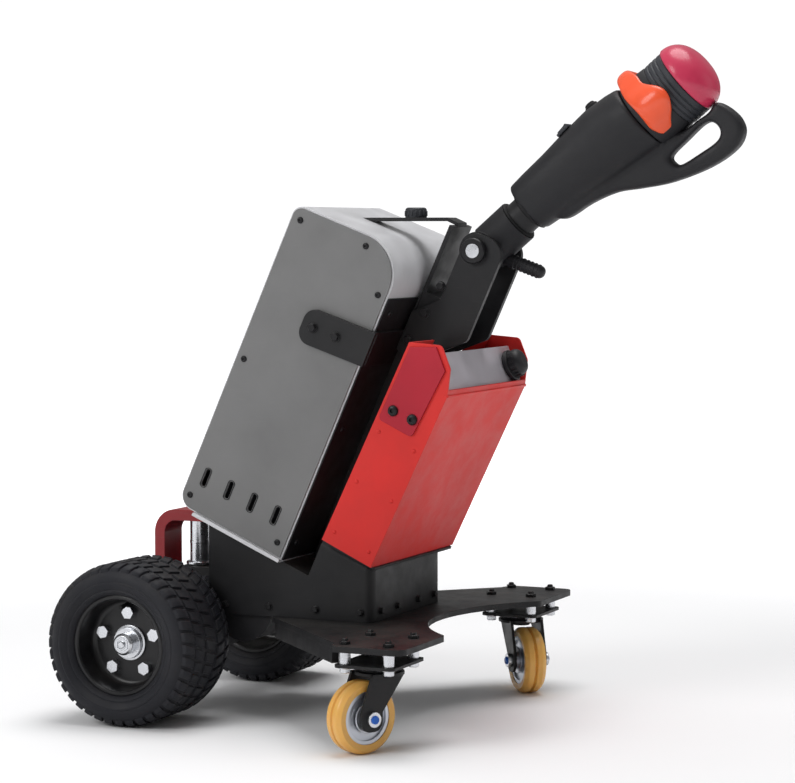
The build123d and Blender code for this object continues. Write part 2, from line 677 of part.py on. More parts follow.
def hitch():
    """Front coupling: a red hook that opens downwards, with a silver pin behind it."""
    jaw_rear = BASE_FRONT
    jaw_low = HITCH_JAW_TOP - HITCH_JAW_T
    jaw_nose = HITCH_PIN_X - HITCH_JAW_NOSE
    mast = [
        (jaw_rear - HITCH_MAST_T, jaw_low), (jaw_rear, jaw_low),
        (jaw_rear, HITCH_TOP - HITCH_TOP_STEP), (jaw_rear - HITCH_MAST_T, HITCH_TOP - HITCH_TOP_STEP),
    ]
    jaw = [
        (jaw_nose, jaw_low), (jaw_rear - 1, jaw_low), (jaw_rear - 1, HITCH_JAW_TOP), (jaw_nose, HITCH_JAW_TOP),
    ]
    bracket = slab(mast, -HITCH_MAST_HALF, HITCH_MAST_HALF) + slab(jaw, -HITCH_HALF, HITCH_HALF, {jaw[0]: 4.0})
    bracket -= z_cylinder(HITCH_PIN_D / 2 + SEAT, jaw_low - 1, HITCH_JAW_TOP + 1, HITCH_PIN_X)
    keep("hitch_bracket", bracket)
    rear = jaw_rear - HITCH_MAST_T
    top = HITCH_TOP
    nose = -HOOK_REACH
    hook = [
        (rear, top - HOOK_T), (rear, top), (nose, top), (nose, HOOK_TIP_Z + 8), (nose + 8, HOOK_TIP_Z),
        (nose + HOOK_T, HOOK_TIP_Z), (nose + HOOK_T, top - HOOK_T),
    ]
    rounded = {hook[2]: HOOK_BEND_R, hook[6]: HOOK_BEND_R - HOOK_T}
    arm = slab(hook, -HITCH_HALF, HITCH_HALF, rounded)
    arm -= z_cylinder(HITCH_PIN_D / 2 + SEAT, HITCH_TOP - HOOK_T - 1, HITCH_TOP + 1, HITCH_PIN_X)
    keep("tow_hook", arm)
    pin = z_cylinder(HITCH_PIN_D / 2, HITCH_PIN_FOOT, HITCH_TOP - SEAT, HITCH_PIN_X)
    keep("tow_pin", chamfer(pin.edges(), 2))
    latch_x = HITCH_PIN_X - LATCH_BEFORE_PIN
    latch = [
        (latch_x, HITCH_TOP), (latch_x + LATCH_L, HITCH_TOP), (latch_x + LATCH_L, HITCH_TOP + 8),
        (latch_x + 12, HITCH_TOP + LATCH_H), (latch_x, HITCH_TOP + LATCH_H),
    ]
    keep("release_latch", slab(latch, -LATCH_HALF, LATCH_HALF, {latch[3]: 5.0, latch[4]: 5.0}))


def castor_plate_piece():
    """Top plate, upper race and kingpin of a castor, about its swivel axis."""
    plate = Pos(0, 0, CASTOR_H - CASTOR_PLATE_T / 2) * Box(CASTOR_PLATE_X, CASTOR_PLATE_Y, CASTOR_PLATE_T)
    plate = fillet(plate.edges().filter_by(Axis.Z), 8)
    race_low = CASTOR_H - CASTOR_PLATE_T - CASTOR_RACE_H
    race = Cone(CASTOR_RACE_D / 2 - 4, CASTOR_RACE_D / 2, CASTOR_RACE_H)
    race = Pos(0, 0, race_low + CASTOR_RACE_H / 2) * race
    kingpin = z_cylinder(KINGPIN_D / 2, race_low - FORK_T - 1, race_low)
    head = z_cylinder(KINGPIN_D / 2 + 5, race_low - FORK_T - 6, race_low - FORK_T - 1)
    return plate + race + kingpin + head


def castor_studs():
    """Four bolts with spacers between the castor's plate and the pad above it."""
    studs = []
    for x in (-CASTOR_BOLT_X / 2, CASTOR_BOLT_X / 2):
        for y in (-CASTOR_BOLT_Y / 2, CASTOR_BOLT_Y / 2):
            studs.append(z_cylinder(CASTOR_STUD_D / 2, CASTOR_H, PLATE_BOTTOM, x, y))
    return Compound(studs)


def castor_fork():
    """Pressed fork about the swivel axis. The wheel trails along +X here."""
    crown_top = CASTOR_H - CASTOR_PLATE_T - CASTOR_RACE_H - 0.5
    crown_low = crown_top - FORK_T
    leg_in = CASTOR_WHEEL_W / 2 + FORK_GAP
    leg_out = leg_in + FORK_T
    crown = z_cylinder(CASTOR_RACE_D / 2, crown_low, crown_top)
    crown -= z_cylinder(KINGPIN_D / 2 + RUN_GAP, crown_low - 1, crown_top + 1)
    front, back = CASTOR_TRAIL - FORK_LEG_W / 2, CASTOR_TRAIL + FORK_LEG_W / 2
    foot, shin = CASTOR_AXLE_Z - FORK_LEG_W / 2, CASTOR_AXLE_Z + 8
    leg = [
        (-CASTOR_RACE_D / 2 + 12, crown_low), (-CASTOR_RACE_D / 2 + 12, crown_top),
        (CASTOR_RACE_D / 2 - 4, crown_top), (back, shin), (back, foot), (front, foot), (front, shin),
    ]
    rounded = {leg[4]: 14.0, leg[5]: 14.0}
    fork = crown
    for sign in (-1, 1):
        low, high = sorted((sign * leg_in, sign * leg_out))
        fork += slab(leg, low, high, rounded)
    hole = y_cylinder(CASTOR_AXLE_D / 2 + RUN_GAP, -leg_out - 1, leg_out + 1, CASTOR_TRAIL, CASTOR_AXLE_Z)
    return fork - hole


def castor_axle():
    """Axle bolt with its head and nut outside the fork's legs."""
    out = CASTOR_WHEEL_W / 2 + FORK_GAP + FORK_T
    bolt = y_cylinder(CASTOR_AXLE_D / 2, -out - 1, out + 1)
    for sign in (-1, 1):
        low, high = sorted((sign * out, sign * (out + 6)))
        bolt += y_cylinder(CASTOR_AXLE_D / 2 + 4, low, high)
    return bolt


def castor_core():
    """Bright hub with a waist between its two rims."""
    outer = CASTOR_WHEEL_D / 2 - CASTOR_TREAD_T - SEAT
    bore = CASTOR_AXLE_D / 2 + RUN_GAP
    half = CASTOR_WHEEL_W / 2 - 2
    boss = half + 2 + FORK_GAP - 0.4
    hub = CASTOR_BOSS_R
    rim = outer - CASTOR_RIM_T
    points = [
        (bore, -boss), (hub, -boss), (hub, -half + 3), (rim, -half + 3), (rim, -half), (outer, -half),
        (outer, half), (rim, half), (rim, half - 3), (hub, half - 3), (hub, boss), (bore, boss),
    ]
    return wheel_turned(points)


def castor_tread():
    """Amber tread with a groove round its middle."""
    outer = CASTOR_WHEEL_D / 2
    inner = outer - CASTOR_TREAD_T
    half = CASTOR_WHEEL_W / 2
    groove = 2.5
    points = [
        (inner, -half + 1), (outer - 5, -half), (outer, -half + 6), (outer, -groove), (outer - 4, 0),
        (outer, groove), (outer, half - 6), (outer - 5, half), (inner, half - 1),
    ]
    return wheel_turned(points, {points[2]: 5.0, points[6]: 5.0})


def castors():
    for side, sign in SIDES:
        swivel = Pos(CASTOR_X, sign * CASTOR_Y, 0)
        keep("castor_plate_" + side, swivel * castor_plate_piece())
        keep("castor_studs_" + side, swivel * castor_studs())
        yaw = swivel * Rot(0, 0, CASTOR_TRAIL_WAY[side])
        wheel = yaw * Pos(CASTOR_TRAIL, 0, CASTOR_AXLE_Z)
        keep("castor_fork_" + side, yaw * castor_fork())
        keep("castor_axle_" + side, wheel * castor_axle())
        keep("castor_core_" + side, wheel * castor_core())
        keep("castor_tread_" + side, wheel * castor_tread())


def tiller_mount():
    """Cheeks on the column's sides and the pivot bolt through them."""
    for side, sign in SIDES:
        low, high = sorted((sign * CHEEK_INNER, sign * (CHEEK_INNER + CHEEK_T)))
        front, back = PIVOT_S - CHEEK_BEFORE_PIN, PIVOT_S + CHEEK_BEHIND_PIN
        top = PIVOT_T + CHEEK_OVER_PIN
        cheek = [
            (COLUMN_FRONT, CHEEK_FOOT), (COLUMN_REAR, CHEEK_FOOT), (back, CHEEK_BACK_FOOT), (back, top),
            (front, top), (front, COLUMN_TOP), (COLUMN_FRONT, COLUMN_TOP - (front - COLUMN_FRONT)),
        ]
        rounded = {cheek[2]: CHEEK_OVER_PIN / 2, cheek[3]: CHEEK_OVER_PIN, cheek[4]: CHEEK_BEFORE_PIN * 0.8}
        plate = slab(cheek, low, high, rounded)
        plate -= y_cylinder(PIN_D / 2 + SEAT, low - 1, high + 1, PIVOT_S, PIVOT_T)
        keep("tiller_cheek_" + side, lean_frame() * plate)
    out = CHEEK_INNER + CHEEK_T
    pin = y_cylinder(PIN_D / 2, -out, out, PIVOT_S, PIVOT_T)
    for sign in (-1, 1):
        low, high = sorted((sign * out, sign * (out + PIN_HEAD_T)))
        head = y_cylinder(PIN_HEAD_D / 2, low, high, PIVOT_S, PIVOT_T)
        pin += head
    pin = chamfer(pin.edges().filter_by(GeomType.CIRCLE).sort_by(Axis.Y)[-1], 2)
    pin = chamfer(pin.edges().filter_by(GeomType.CIRCLE).sort_by(Axis.Y)[0], 2)
    keep("tiller_pin", lean_frame() * pin)


def head_section(along, middle, height, width):
    """One rounded section of the head, square to the tiller's axis."""
    plane = Plane(origin=(HEAD_START + along, 0, middle), x_dir=(0, 1, 0), z_dir=(1, 0, 0))
    return plane * RectangleRounded(width, height, min(width, height) * 0.42)


def tiller_head():
    """Moulded head: a tapering body with a hand loop below it."""
    sections = [head_section(*row) for row in HEAD_SECTIONS]
    body = loft(sections)
    outline = [(HEAD_START + along, height) for along, height in LOOP_OUTLINE]
    face = HEAD_START + HEAD_SECTIONS[-1][0]
    loop_points = outline + [(face, HEAD_DROP), (HEAD_START + LOOP_OUTLINE[1][0], 0.0)]
    loop = slab(loop_points, -LOOP_T / 2, LOOP_T / 2, dict(zip(outline, LOOP_ROUNDS)))
    slot_x = HEAD_START + LOOP_SLOT_AT[0]
    slot = Plane.XZ * SlotOverall(LOOP_SLOT_L, LOOP_SLOT_W, rotation=LOOP_SLOT_TURN)
    loop -= Pos(slot_x, 0, LOOP_SLOT_AT[1]) * extrude(slot, LOOP_T, both=True)
    beyond_l = THROTTLE_L + COLLAR_L + DOME_H + LOOP_GAP
    beyond_h = 2 * (THROTTLE_R + LOOP_GAP)
    beyond = Pos(face + beyond_l / 2, 0, HEAD_DROP) * Box(beyond_l, 2 * LOOP_T, beyond_h)
    socket = x_cylinder(TUBE_D / 2 + SEAT, HEAD_START - 1, HEAD_START + TUBE_INTO_HEAD + SEAT)
    return body + (loop - beyond) - socket


def oval(width, height, along, length):
    """A rounded block across the head, from a place along the tiller."""
    plane = Plane(origin=(along, 0, HEAD_DROP), x_dir=(0, 1, 0), z_dir=(1, 0, 0))
    return extrude(plane * Ellipse(width, height), length)


def tiller():
    """Everything that tilts: knuckle, tube, clamp lever and the head with its controls."""
    place = tiller_frame()
    half = CHEEK_INNER - KNUCKLE_GAP
    knuckle = y_cylinder(KNUCKLE_R, -half, half) + x_cylinder(SOCKET_R, 10, SOCKET_END)
    knuckle -= y_cylinder(PIN_D / 2 + RUN_GAP, -half - 1, half + 1)
    tube_start = KNUCKLE_R + 4
    knuckle -= x_cylinder(TUBE_D / 2 + SEAT, tube_start - SEAT, SOCKET_END + 1)
    keep("tiller_knuckle", place * knuckle)
    keep("tiller_tube", place * x_cylinder(TUBE_D / 2, tube_start, HEAD_START + TUBE_INTO_HEAD))
    lever = x_cylinder(LEVER_D / 2, KNUCKLE_R - 4, KNUCKLE_R + LEVER_L)
    lever = fillet(lever.edges().sort_by(Axis.X)[-1], LEVER_D / 2 - 1)
    lever = Rot(0, TILLER_ANGLE + LEVER_DOWN_DEG, 0) * lever
    lever -= y_cylinder(KNUCKLE_R + SEAT, -half, half)
    lever -= x_cylinder(SOCKET_R + SEAT, 0, SOCKET_END + SEAT)
    keep("clamp_lever", place * lever)
    keep("tiller_head", place * tiller_head())
    start = HEAD_START + THROTTLE_FROM
    band = oval(THROTTLE_HALF_Y, THROTTLE_R, start, THROTTLE_L)
    wing_w = 2 * (THROTTLE_HALF_Y + THROTTLE_WING)
    wing = Box(THROTTLE_L * 0.62, wing_w, WING_T)
    wing = fillet(wing.edges().filter_by(Axis.X), WING_T / 2 - 1)
    wing = Pos(start + THROTTLE_L / 2, 0, HEAD_DROP + THROTTLE_R * 0.55) * wing
    keep("throttle_band", place * (band + wing))
    collar_start = start + THROTTLE_L
    collar = oval(COLLAR_R * 0.94, COLLAR_R, collar_start, COLLAR_L)
    keep("head_collar", place * collar)
    dome_start = collar_start + COLLAR_L
    ball = Sphere(DOME_R)
    dome = ball & (Pos(DOME_R, 0, 0) * Box(2 * DOME_R, 2 * DOME_R, 2 * DOME_R))
    dome = scale(dome, (DOME_H / DOME_R, 0.94, 1.0))
    keep("stop_dome", place * Pos(dome_start, 0, HEAD_DROP) * dome)


def main():
    drive_wheels()
    axle_case()
    chassis_plate()
    base_housing()
    housing()
    column()
    top_brace()
    battery()
    hitch()
    castors()
    tiller_mount()
    tiller()
    os.makedirs("parts", exist_ok=True)
    for node, shape in SHAPES.items():
        export_step(shape, "parts/" + node + ".step")
    boxes = [shape.bounding_box() for shape in SHAPES.values()]
    low = [round(min(tuple(box.min)[i] for box in boxes), 2) for i in range(3)]
    high = [round(max(tuple(box.max)[i] for box in boxes), 2) for i in range(3)]
    print("low", low, "high", high)
    pivot_x, pivot_z = leaned(PIVOT_S, PIVOT_T)
    print("tiller pivot", round(pivot_x - MIDDLE_BEHIND_AXLE, 4), round(pivot_z, 4))


main()
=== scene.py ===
import json
from math import cos, pi, radians, sin

import bmesh
import bpy
from bpy.props import FloatProperty, FloatVectorProperty, IntProperty, PointerProperty
from mathutils import Matrix, Vector


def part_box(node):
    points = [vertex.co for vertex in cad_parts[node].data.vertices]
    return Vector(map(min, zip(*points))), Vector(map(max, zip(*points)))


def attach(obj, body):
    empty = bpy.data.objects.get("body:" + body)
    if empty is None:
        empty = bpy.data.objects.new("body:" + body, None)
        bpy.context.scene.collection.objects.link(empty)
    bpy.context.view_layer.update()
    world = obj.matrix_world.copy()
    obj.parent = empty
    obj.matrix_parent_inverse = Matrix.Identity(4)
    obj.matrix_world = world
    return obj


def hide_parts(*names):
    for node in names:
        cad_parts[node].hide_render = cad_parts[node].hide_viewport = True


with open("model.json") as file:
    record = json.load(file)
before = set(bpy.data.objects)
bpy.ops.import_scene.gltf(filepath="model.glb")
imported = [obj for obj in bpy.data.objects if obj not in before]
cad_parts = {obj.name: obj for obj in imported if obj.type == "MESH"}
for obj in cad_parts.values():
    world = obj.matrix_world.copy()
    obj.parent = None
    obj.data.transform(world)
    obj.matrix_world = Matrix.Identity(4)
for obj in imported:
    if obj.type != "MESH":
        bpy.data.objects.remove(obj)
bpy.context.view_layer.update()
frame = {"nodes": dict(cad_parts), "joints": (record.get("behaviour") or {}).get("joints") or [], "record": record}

bl_info = {
    "name": "Tow tractor pieces",
    "version": (1, 0, 0),
    "blender": (4, 5, 0),
    "location": "3D View > Sidebar > Tow tractor",
    "description": "Finishes and detailed pieces of a walk-behind electric tow tractor",
    "category": "Object",
}

NODES = frame["nodes"]
JOINTS = {joint["name"]: joint for joint in frame["joints"]}
SIDES = ("left", "right")
SIGNS = (-1, 1)
MILLI = Matrix.Scale(0.001, 4)
HERE = Matrix.Identity(4)


def spot(point, degrees=0, axis="Y"):
    """A frame at a point, turned about an axis."""
    return Matrix.Translation(point) @ Matrix.Rotation(radians(degrees), 4, axis)


def turns(count, start=0.0):
    """Equal steps of a whole turn."""
    return [2 * pi * index / count + start for index in range(count)]


# Frames of the leaning and tilting groups, as the solids have them. Local sizes are millimetres.
HOUSING_LEAN, BATTERY_LEAN, TILLER_RISE = 24, 1.6, 40.5
DRIVE_AXLE = Vector(JOINTS["drive_wheel_left_spin"]["pos_m"])
PIVOT = Vector(JOINTS["tiller_tilt"]["pos_m"])
TILLER = spot(PIVOT, -TILLER_RISE)
LEANING = spot((DRIVE_AXLE.x + 0.021, 0, 0.2975), HOUSING_LEAN)
BATTERY = LEANING @ spot((0.228, 0, 0.059), BATTERY_LEAN)
UNDER_AXLE = spot((DRIVE_AXLE.x, 0, 0))
HOUSING_HALF = 128.0
BATTERY_HALF = 143.0
TYRE_BORE_R = 68.4
HUB_FACE = 24.0

# Points closer than this are welded, so a profile's end at TIP from its axis becomes one point.
WELD = 0.01
TIP = 0.01


def linear(red, green, blue):
    """A colour of 0 to 255 per channel as Blender's linear values."""
    values = [channel / 255 for channel in (red, green, blue)]
    return [v / 12.92 if v < 0.04045 else ((v + 0.055) / 1.055) ** 2.4 for v in values]


def colour_prop(name, description, rgb):
    return FloatVectorProperty(
        name=name, description=description, subtype="COLOR", size=3, min=0, max=1, default=linear(*rgb)
    )


def length_prop(name, description, millimetres):
    return FloatProperty(
        name=name, description=description, default=millimetres / 1000, min=0, unit="LENGTH", precision=5
    )


def share_prop(name, description, share):
    return FloatProperty(name=name, description=description, default=share, min=0, max=1, subtype="FACTOR")


class TugColours(bpy.types.PropertyGroup):
    """Colours of the tow tractor's finishes."""
    panel: colour_prop("Side panel", "Grey paint of the housing's side panels", (104, 104, 104))
    cover: colour_prop("Cover", "Silver paint of the bent cover", (208, 208, 211))
    frame: colour_prop("Frame", "Black powder coat of the frame, arms and column", (17, 17, 20))
    casting: colour_prop("Casting", "Black paint of the castings", (19, 19, 23))
    battery: colour_prop("Battery box", "Red paint of the battery box", (206, 38, 33))
    battery_side: colour_prop("Battery side plate", "Deeper red of the plates on the box's sides", (168, 18, 40))
    lid: colour_prop("Battery lid", "Brushed metal of the sloping lid", (206, 201, 208))
    head: colour_prop("Tiller head", "Moulded plastic of the head and hand loop", (22, 22, 26))
    throttle: colour_prop("Throttle", "Orange plastic of the throttle wings", (232, 84, 44))
    dome: colour_prop("Dome", "Red plastic of the dome on the head", (186, 46, 78))
    tyre: colour_prop("Tyre", "Rubber of the drive tyres", (21, 22, 29))
    castor: colour_prop("Castor tread", "Amber tread of the swivel castors", (226, 172, 84))
    hook: colour_prop("Hook", "Red paint of the tow hook", (140, 10, 22))
    latch: colour_prop("Latch", "Yellow paint of the release latch", (232, 190, 84))
    floor: colour_prop("Floor", "Pale floor and light around the object", (246, 246, 247))


class TugSizes(bpy.types.PropertyGroup):
    """Sizes of the tow tractor's modelled details."""
    tread_depth: length_prop("Tread depth", "Height of the tyre's lugs above the carcass", 3.0)
    tread_count: IntProperty(name="Tread repeats", description="Lugs in a row round the tyre", default=40, min=12)
    tread_slant: length_prop("Tread slant", "How far a lug leans along the tread over its width", 5.0)
    bolt_head: length_prop("Bolt head", "Size across a frame bolt's head", 13.0)
    screw_head: length_prop("Screw head", "Size across a cover screw's head", 9.0)
    edge_radius: length_prop("Edge rounding", "Rounding that shading gives to sharp sheet edges", 0.9)
    # Also sets how strongly a highlight is painted on the edges, which lighten towards the colour under the paint.
    wear: share_prop("Edge wear", "How much paint has gone from the edges, and how strong their painted highlight is", 0.24)
    dust: share_prop("Dust", "How much dust lies on surfaces that face up", 0.07)


def new_group(name, inputs, outputs, kind="ShaderNodeTree"):
    """A node group with named inputs and outputs, and its two end nodes."""
    group = bpy.data.node_groups.new(name, kind)
    for way, entries in (("INPUT", inputs), ("OUTPUT", outputs)):
        for label, sort, *default in entries:
            item = group.interface.new_socket(name=label, in_out=way, socket_type="NodeSocket" + sort.capitalize())
            if default:
                item.default_value = default[0]
    return group, group.nodes.new("NodeGroupInput"), group.nodes.new("NodeGroupOutput")


def make_nodes(tree, *kinds):
    return [tree.nodes.new(kind) for kind in kinds]


def wire(tree, pairs):
    """Links pairs of sockets."""
    for start, end in pairs:
        tree.links.new(start, end)


def feed(tree, node, values):
    """Gives a node's inputs, by name or number, a link from a socket or a plain value."""
    for key, value in values.items():
        if isinstance(value, bpy.types.NodeSocket):
            tree.links.new(value, node.inputs[key])
        else:
            node.inputs[key].default_value = value


def maths(tree, operation, *operands, clamp=False):
    """A Math node's output; each operand is a socket or a number."""
    node = tree.nodes.new("ShaderNodeMath")
    node.operation = operation
    node.use_clamp = clamp
    feed(tree, node, dict(enumerate(operands)))
    return node.outputs[0]


def noise(tree, vector, scale, detail=4.0, rough=0.55):
    """A noise texture's value between 0 and 1."""
    node = tree.nodes.new("ShaderNodeTexNoise")
    feed(tree, node, {"Detail": detail, "Roughness": rough, "Vector": vector, "Scale": scale})
    return node.outputs["Fac"]


def remap(tree, value, low, high, to_low=0.0, to_high=1.0):
    """A value moved smoothly from one range to another."""
    node = tree.nodes.new("ShaderNodeMapRange")
    node.interpolation_type = "SMOOTHSTEP"
    feed(tree, node, {"Value": value, "From Min": low, "From Max": high, "To Min": to_low, "To Max": to_high})
    return node.outputs["Result"]


def mix_colour(tree, share, first, second):
    """A colour between two others; each input is a socket or a value."""
    node = tree.nodes.new("ShaderNodeMix")
    node.data_type = "RGBA"
    feed(tree, node, {0: share, 6: first, 7: second})
    return node.outputs[2]


def object_coordinates(tree):
    return tree.nodes.new("ShaderNodeTexCoord").outputs["Object"]


def edge_wear_and_highlight_group():
    """Mask of rubbed edges that also paints a highlight along them, and their rounded normal."""
    # This group's mask paints a highlight on every sharp edge as well as marking paint loss there.
    group, start, end = new_group(
        "Edge wear", [("Radius", "float", 0.001), ("Amount", "float", 0.3), ("Break up", "float", 90.0)],
        [("Mask", "float"), ("Normal", "vector")],
    )
    given = start.outputs
    bevel, geometry, dot = make_nodes(group, "ShaderNodeBevel", "ShaderNodeNewGeometry", "ShaderNodeVectorMath")
    bevel.samples = 6
    dot.operation = "DOT_PRODUCT"
    feed(group, bevel, {"Radius": given["Radius"]})
    feed(group, dot, {0: bevel.outputs["Normal"], 1: geometry.outputs["Normal"]})
    # The mask marks every sharp edge: partly paint loss, partly a painted edge highlight, broken up by noise.
    bend = maths(group, "SUBTRACT", 1.0, dot.outputs["Value"], clamp=True)
    sharp = maths(group, "MULTIPLY", bend, 6.0, clamp=True)
    broken_up = remap(group, noise(group, object_coordinates(group), given["Break up"], 6.0, 0.7), 0.42, 0.68)
    worn_and_highlit = maths(group, "MULTIPLY", sharp, broken_up)
    mask = maths(group, "MULTIPLY", worn_and_highlit, given["Amount"], clamp=True)
    feed(group, end, {"Mask": mask, "Normal": bevel.outputs["Normal"]})
    return group


def dust_group():
    """Mask of dust that settles on what faces up, in patches."""
    group, start, end = new_group(
        "Settled dust", [("Amount", "float", 0.15), ("Patch size", "float", 14.0)], [("Mask", "float")],
    )
    given = start.outputs
    coordinates, split = make_nodes(group, "ShaderNodeTexCoord", "ShaderNodeSeparateXYZ")
    feed(group, split, {0: coordinates.outputs["Normal"]})
    facing = remap(group, split.outputs["Z"], 0.15, 0.95)
    patches = remap(group, noise(group, coordinates.outputs["Object"], given["Patch size"], 5.0, 0.6), 0.3, 0.75)
    settled = maths(group, "MULTIPLY", maths(group, "MULTIPLY_ADD", facing, 0.8, 0.2), patches)
    feed(group, end, {"Mask": maths(group, "MULTIPLY", settled, given["Amount"], clamp=True)})
    return group


def grain_group():
    """Fine surface height and slow shade of paint, plastic or rubber."""
    group, start, end = new_group(
        "Surface grain",
        [("Grain scale", "float", 900.0), ("Shade scale", "float", 7.0), ("Pits", "float", 0.0)],
        [("Height", "float"), ("Shade", "float"), ("Gloss change", "float")],
    )
    given = start.outputs
    place = object_coordinates(group)
    cells = group.nodes.new("ShaderNodeTexVoronoi")
    cells.feature = "F1"
    feed(group, cells, {"Vector": place, "Scale": given["Grain scale"]})
    pits = maths(group, "MULTIPLY", cells.outputs["Distance"], given["Pits"])
    feed(group, end, {
        "Height": maths(group, "ADD", noise(group, place, given["Grain scale"], 2.0, 0.5), pits),
        "Shade": noise(group, place, given["Shade scale"], 5.0, 0.6),
        "Gloss change": noise(group, place, maths(group, "MULTIPLY", given["Shade scale"], 4.0), 6.0, 0.65),
    })
    return group


def scratch_group():
    """Mask of fine scratches or brushing along one direction."""
    group, start, end = new_group(
        "Fine scratches",
        [("Stretch", "vector", (4.0, 60.0, 4.0)), ("Scale", "float", 14.0), ("Low", "float", 0.6),
         ("High", "float", 0.75)],
        [("Mask", "float")],
    )
    given = start.outputs
    stretch = group.nodes.new("ShaderNodeVectorMath")
    stretch.operation = "MULTIPLY"
    feed(group, stretch, {0: object_coordinates(group), 1: given["Stretch"]})
    lines = noise(group, stretch.outputs["Vector"], given["Scale"], 3.0, 0.6)
    feed(group, end, {"Mask": remap(group, lines, given["Low"], given["High"])})
    return group


GROUPS = {}


def effect(tree, name, **values):
    """Places a shared shader group in a material, with its own values."""
    if name not in GROUPS:
        makers = {"edge": edge_wear_and_highlight_group, "dust": dust_group, "grain": grain_group, "scratch": scratch_group}
        GROUPS[name] = makers[name]()
    node = tree.nodes.new("ShaderNodeGroup")
    node.node_tree = GROUPS[name]
    for key, value in values.items():
        node.inputs[key.replace("_", " ").capitalize()].default_value = value
    return node.outputs


# Finishes: colour, colour under the paint, which edges also take as a painted highlight, metallic, roughness, coat,
# grain scale, grain height in mm, pits, scratches, edge rubbing with its painted highlight and dust as shares of the
# user's values
FINISHES = {
    "panel_grey": ("panel", (150, 150, 152), 0, 0.42, 0.12, 1500, 0.012, 0, 0.12, 0.7, 1),
    "cover_silver": ("cover", (190, 190, 194), 0.12, 0.34, 0.2, 1500, 0.01, 0, 0.12, 0.5, 0.8),
    "frame_black": ("frame", (96, 95, 98), 0, 0.46, 0, 1100, 0.035, 0.5, 0.1, 1, 1.2),
    "cast_black": ("casting", (104, 102, 102), 0, 0.58, 0, 420, 0.12, 0.8, 0, 1, 1.4),
    "rim_black": ("frame", (110, 110, 114), 0, 0.36, 0.1, 1100, 0.02, 0.2, 0.2, 0.8, 1.2),
    "battery_red": ("battery", (150, 60, 52), 0, 0.5, 0, 1400, 0.02, 0, 0.05, 0.7, 0.4),
    "battery_red_dark": ("battery_side", (150, 56, 60), 0, 0.48, 0, 1400, 0.02, 0, 0.05, 0.7, 0.4),
    "lid_silver": ("lid", (226, 226, 230), 0.6, 0.36, 0, 1500, 0.01, 0, 0.5, 0.3, 0.8),
    "plastic_black": ("head", (74, 74, 80), 0, 0.5, 0, 1500, 0.05, 1, 0.06, 0.3, 0.7),
    "plastic_grey": ((40, 42, 47), (120, 122, 126), 0, 0.48, 0, 1500, 0.05, 1, 0.05, 0.3, 0.7),
    "throttle_orange": ("throttle", (244, 150, 110), 0, 0.32, 0.3, 1500, 0.015, 0.3, 0.05, 0.3, 0.4),
    "dome_red": ("dome", (214, 110, 130), 0, 0.34, 0.25, 1500, 0.01, 0, 0.1, 0.2, 0.3),
    "hook_red": ("hook", (120, 112, 112), 0, 0.38, 0.2, 800, 0.05, 0.3, 0.25, 1.6, 1),
    "latch_yellow": ("latch", (150, 140, 120), 0, 0.4, 0.2, 1200, 0.03, 0.2, 0.1, 1, 0.6),
    "bright_steel": ((208, 210, 214), (240, 240, 242), 1, 0.27, 0, 900, 0.015, 0.3, 0.4, 0.3, 0.4),
    "castor_hub": ((196, 200, 208), (226, 228, 232), 0.85, 0.34, 0, 700, 0.04, 0.4, 0.2, 0.4, 0.8),
    "castor_amber": ("castor", (200, 160, 96), 0, 0.36, 0.15, 900, 0.03, 0.3, 0.25, 0, 1),
    "tyre_black": ("tyre", (58, 58, 64), 0, 0.62, 0, 700, 0.1, 0.8, 0, 0.6, 1.6),
    "inner_block": ((38, 38, 42), (60, 60, 64), 0, 0.6, 0, 900, 0.05, 0.6, 0, 0.2, 0.6),
    "screw_black": ((26, 26, 28), (120, 120, 124), 0.3, 0.36, 0, 900, 0.02, 0.2, 0.1, 0.7, 0.8),
    "nut_blue": ((36, 96, 190), (60, 120, 200), 0, 0.4, 0, 900, 0.02, 0.2, 0, 0.1, 0.4),
    "seam_dark": ((14, 14, 16), (20, 20, 22), 0, 0.7, 0, 900, 0.02, 0.2, 0, 0, 0.4),
}
DUST_COLOUR = (*linear(150, 144, 134), 1.0)
BUILT = {}


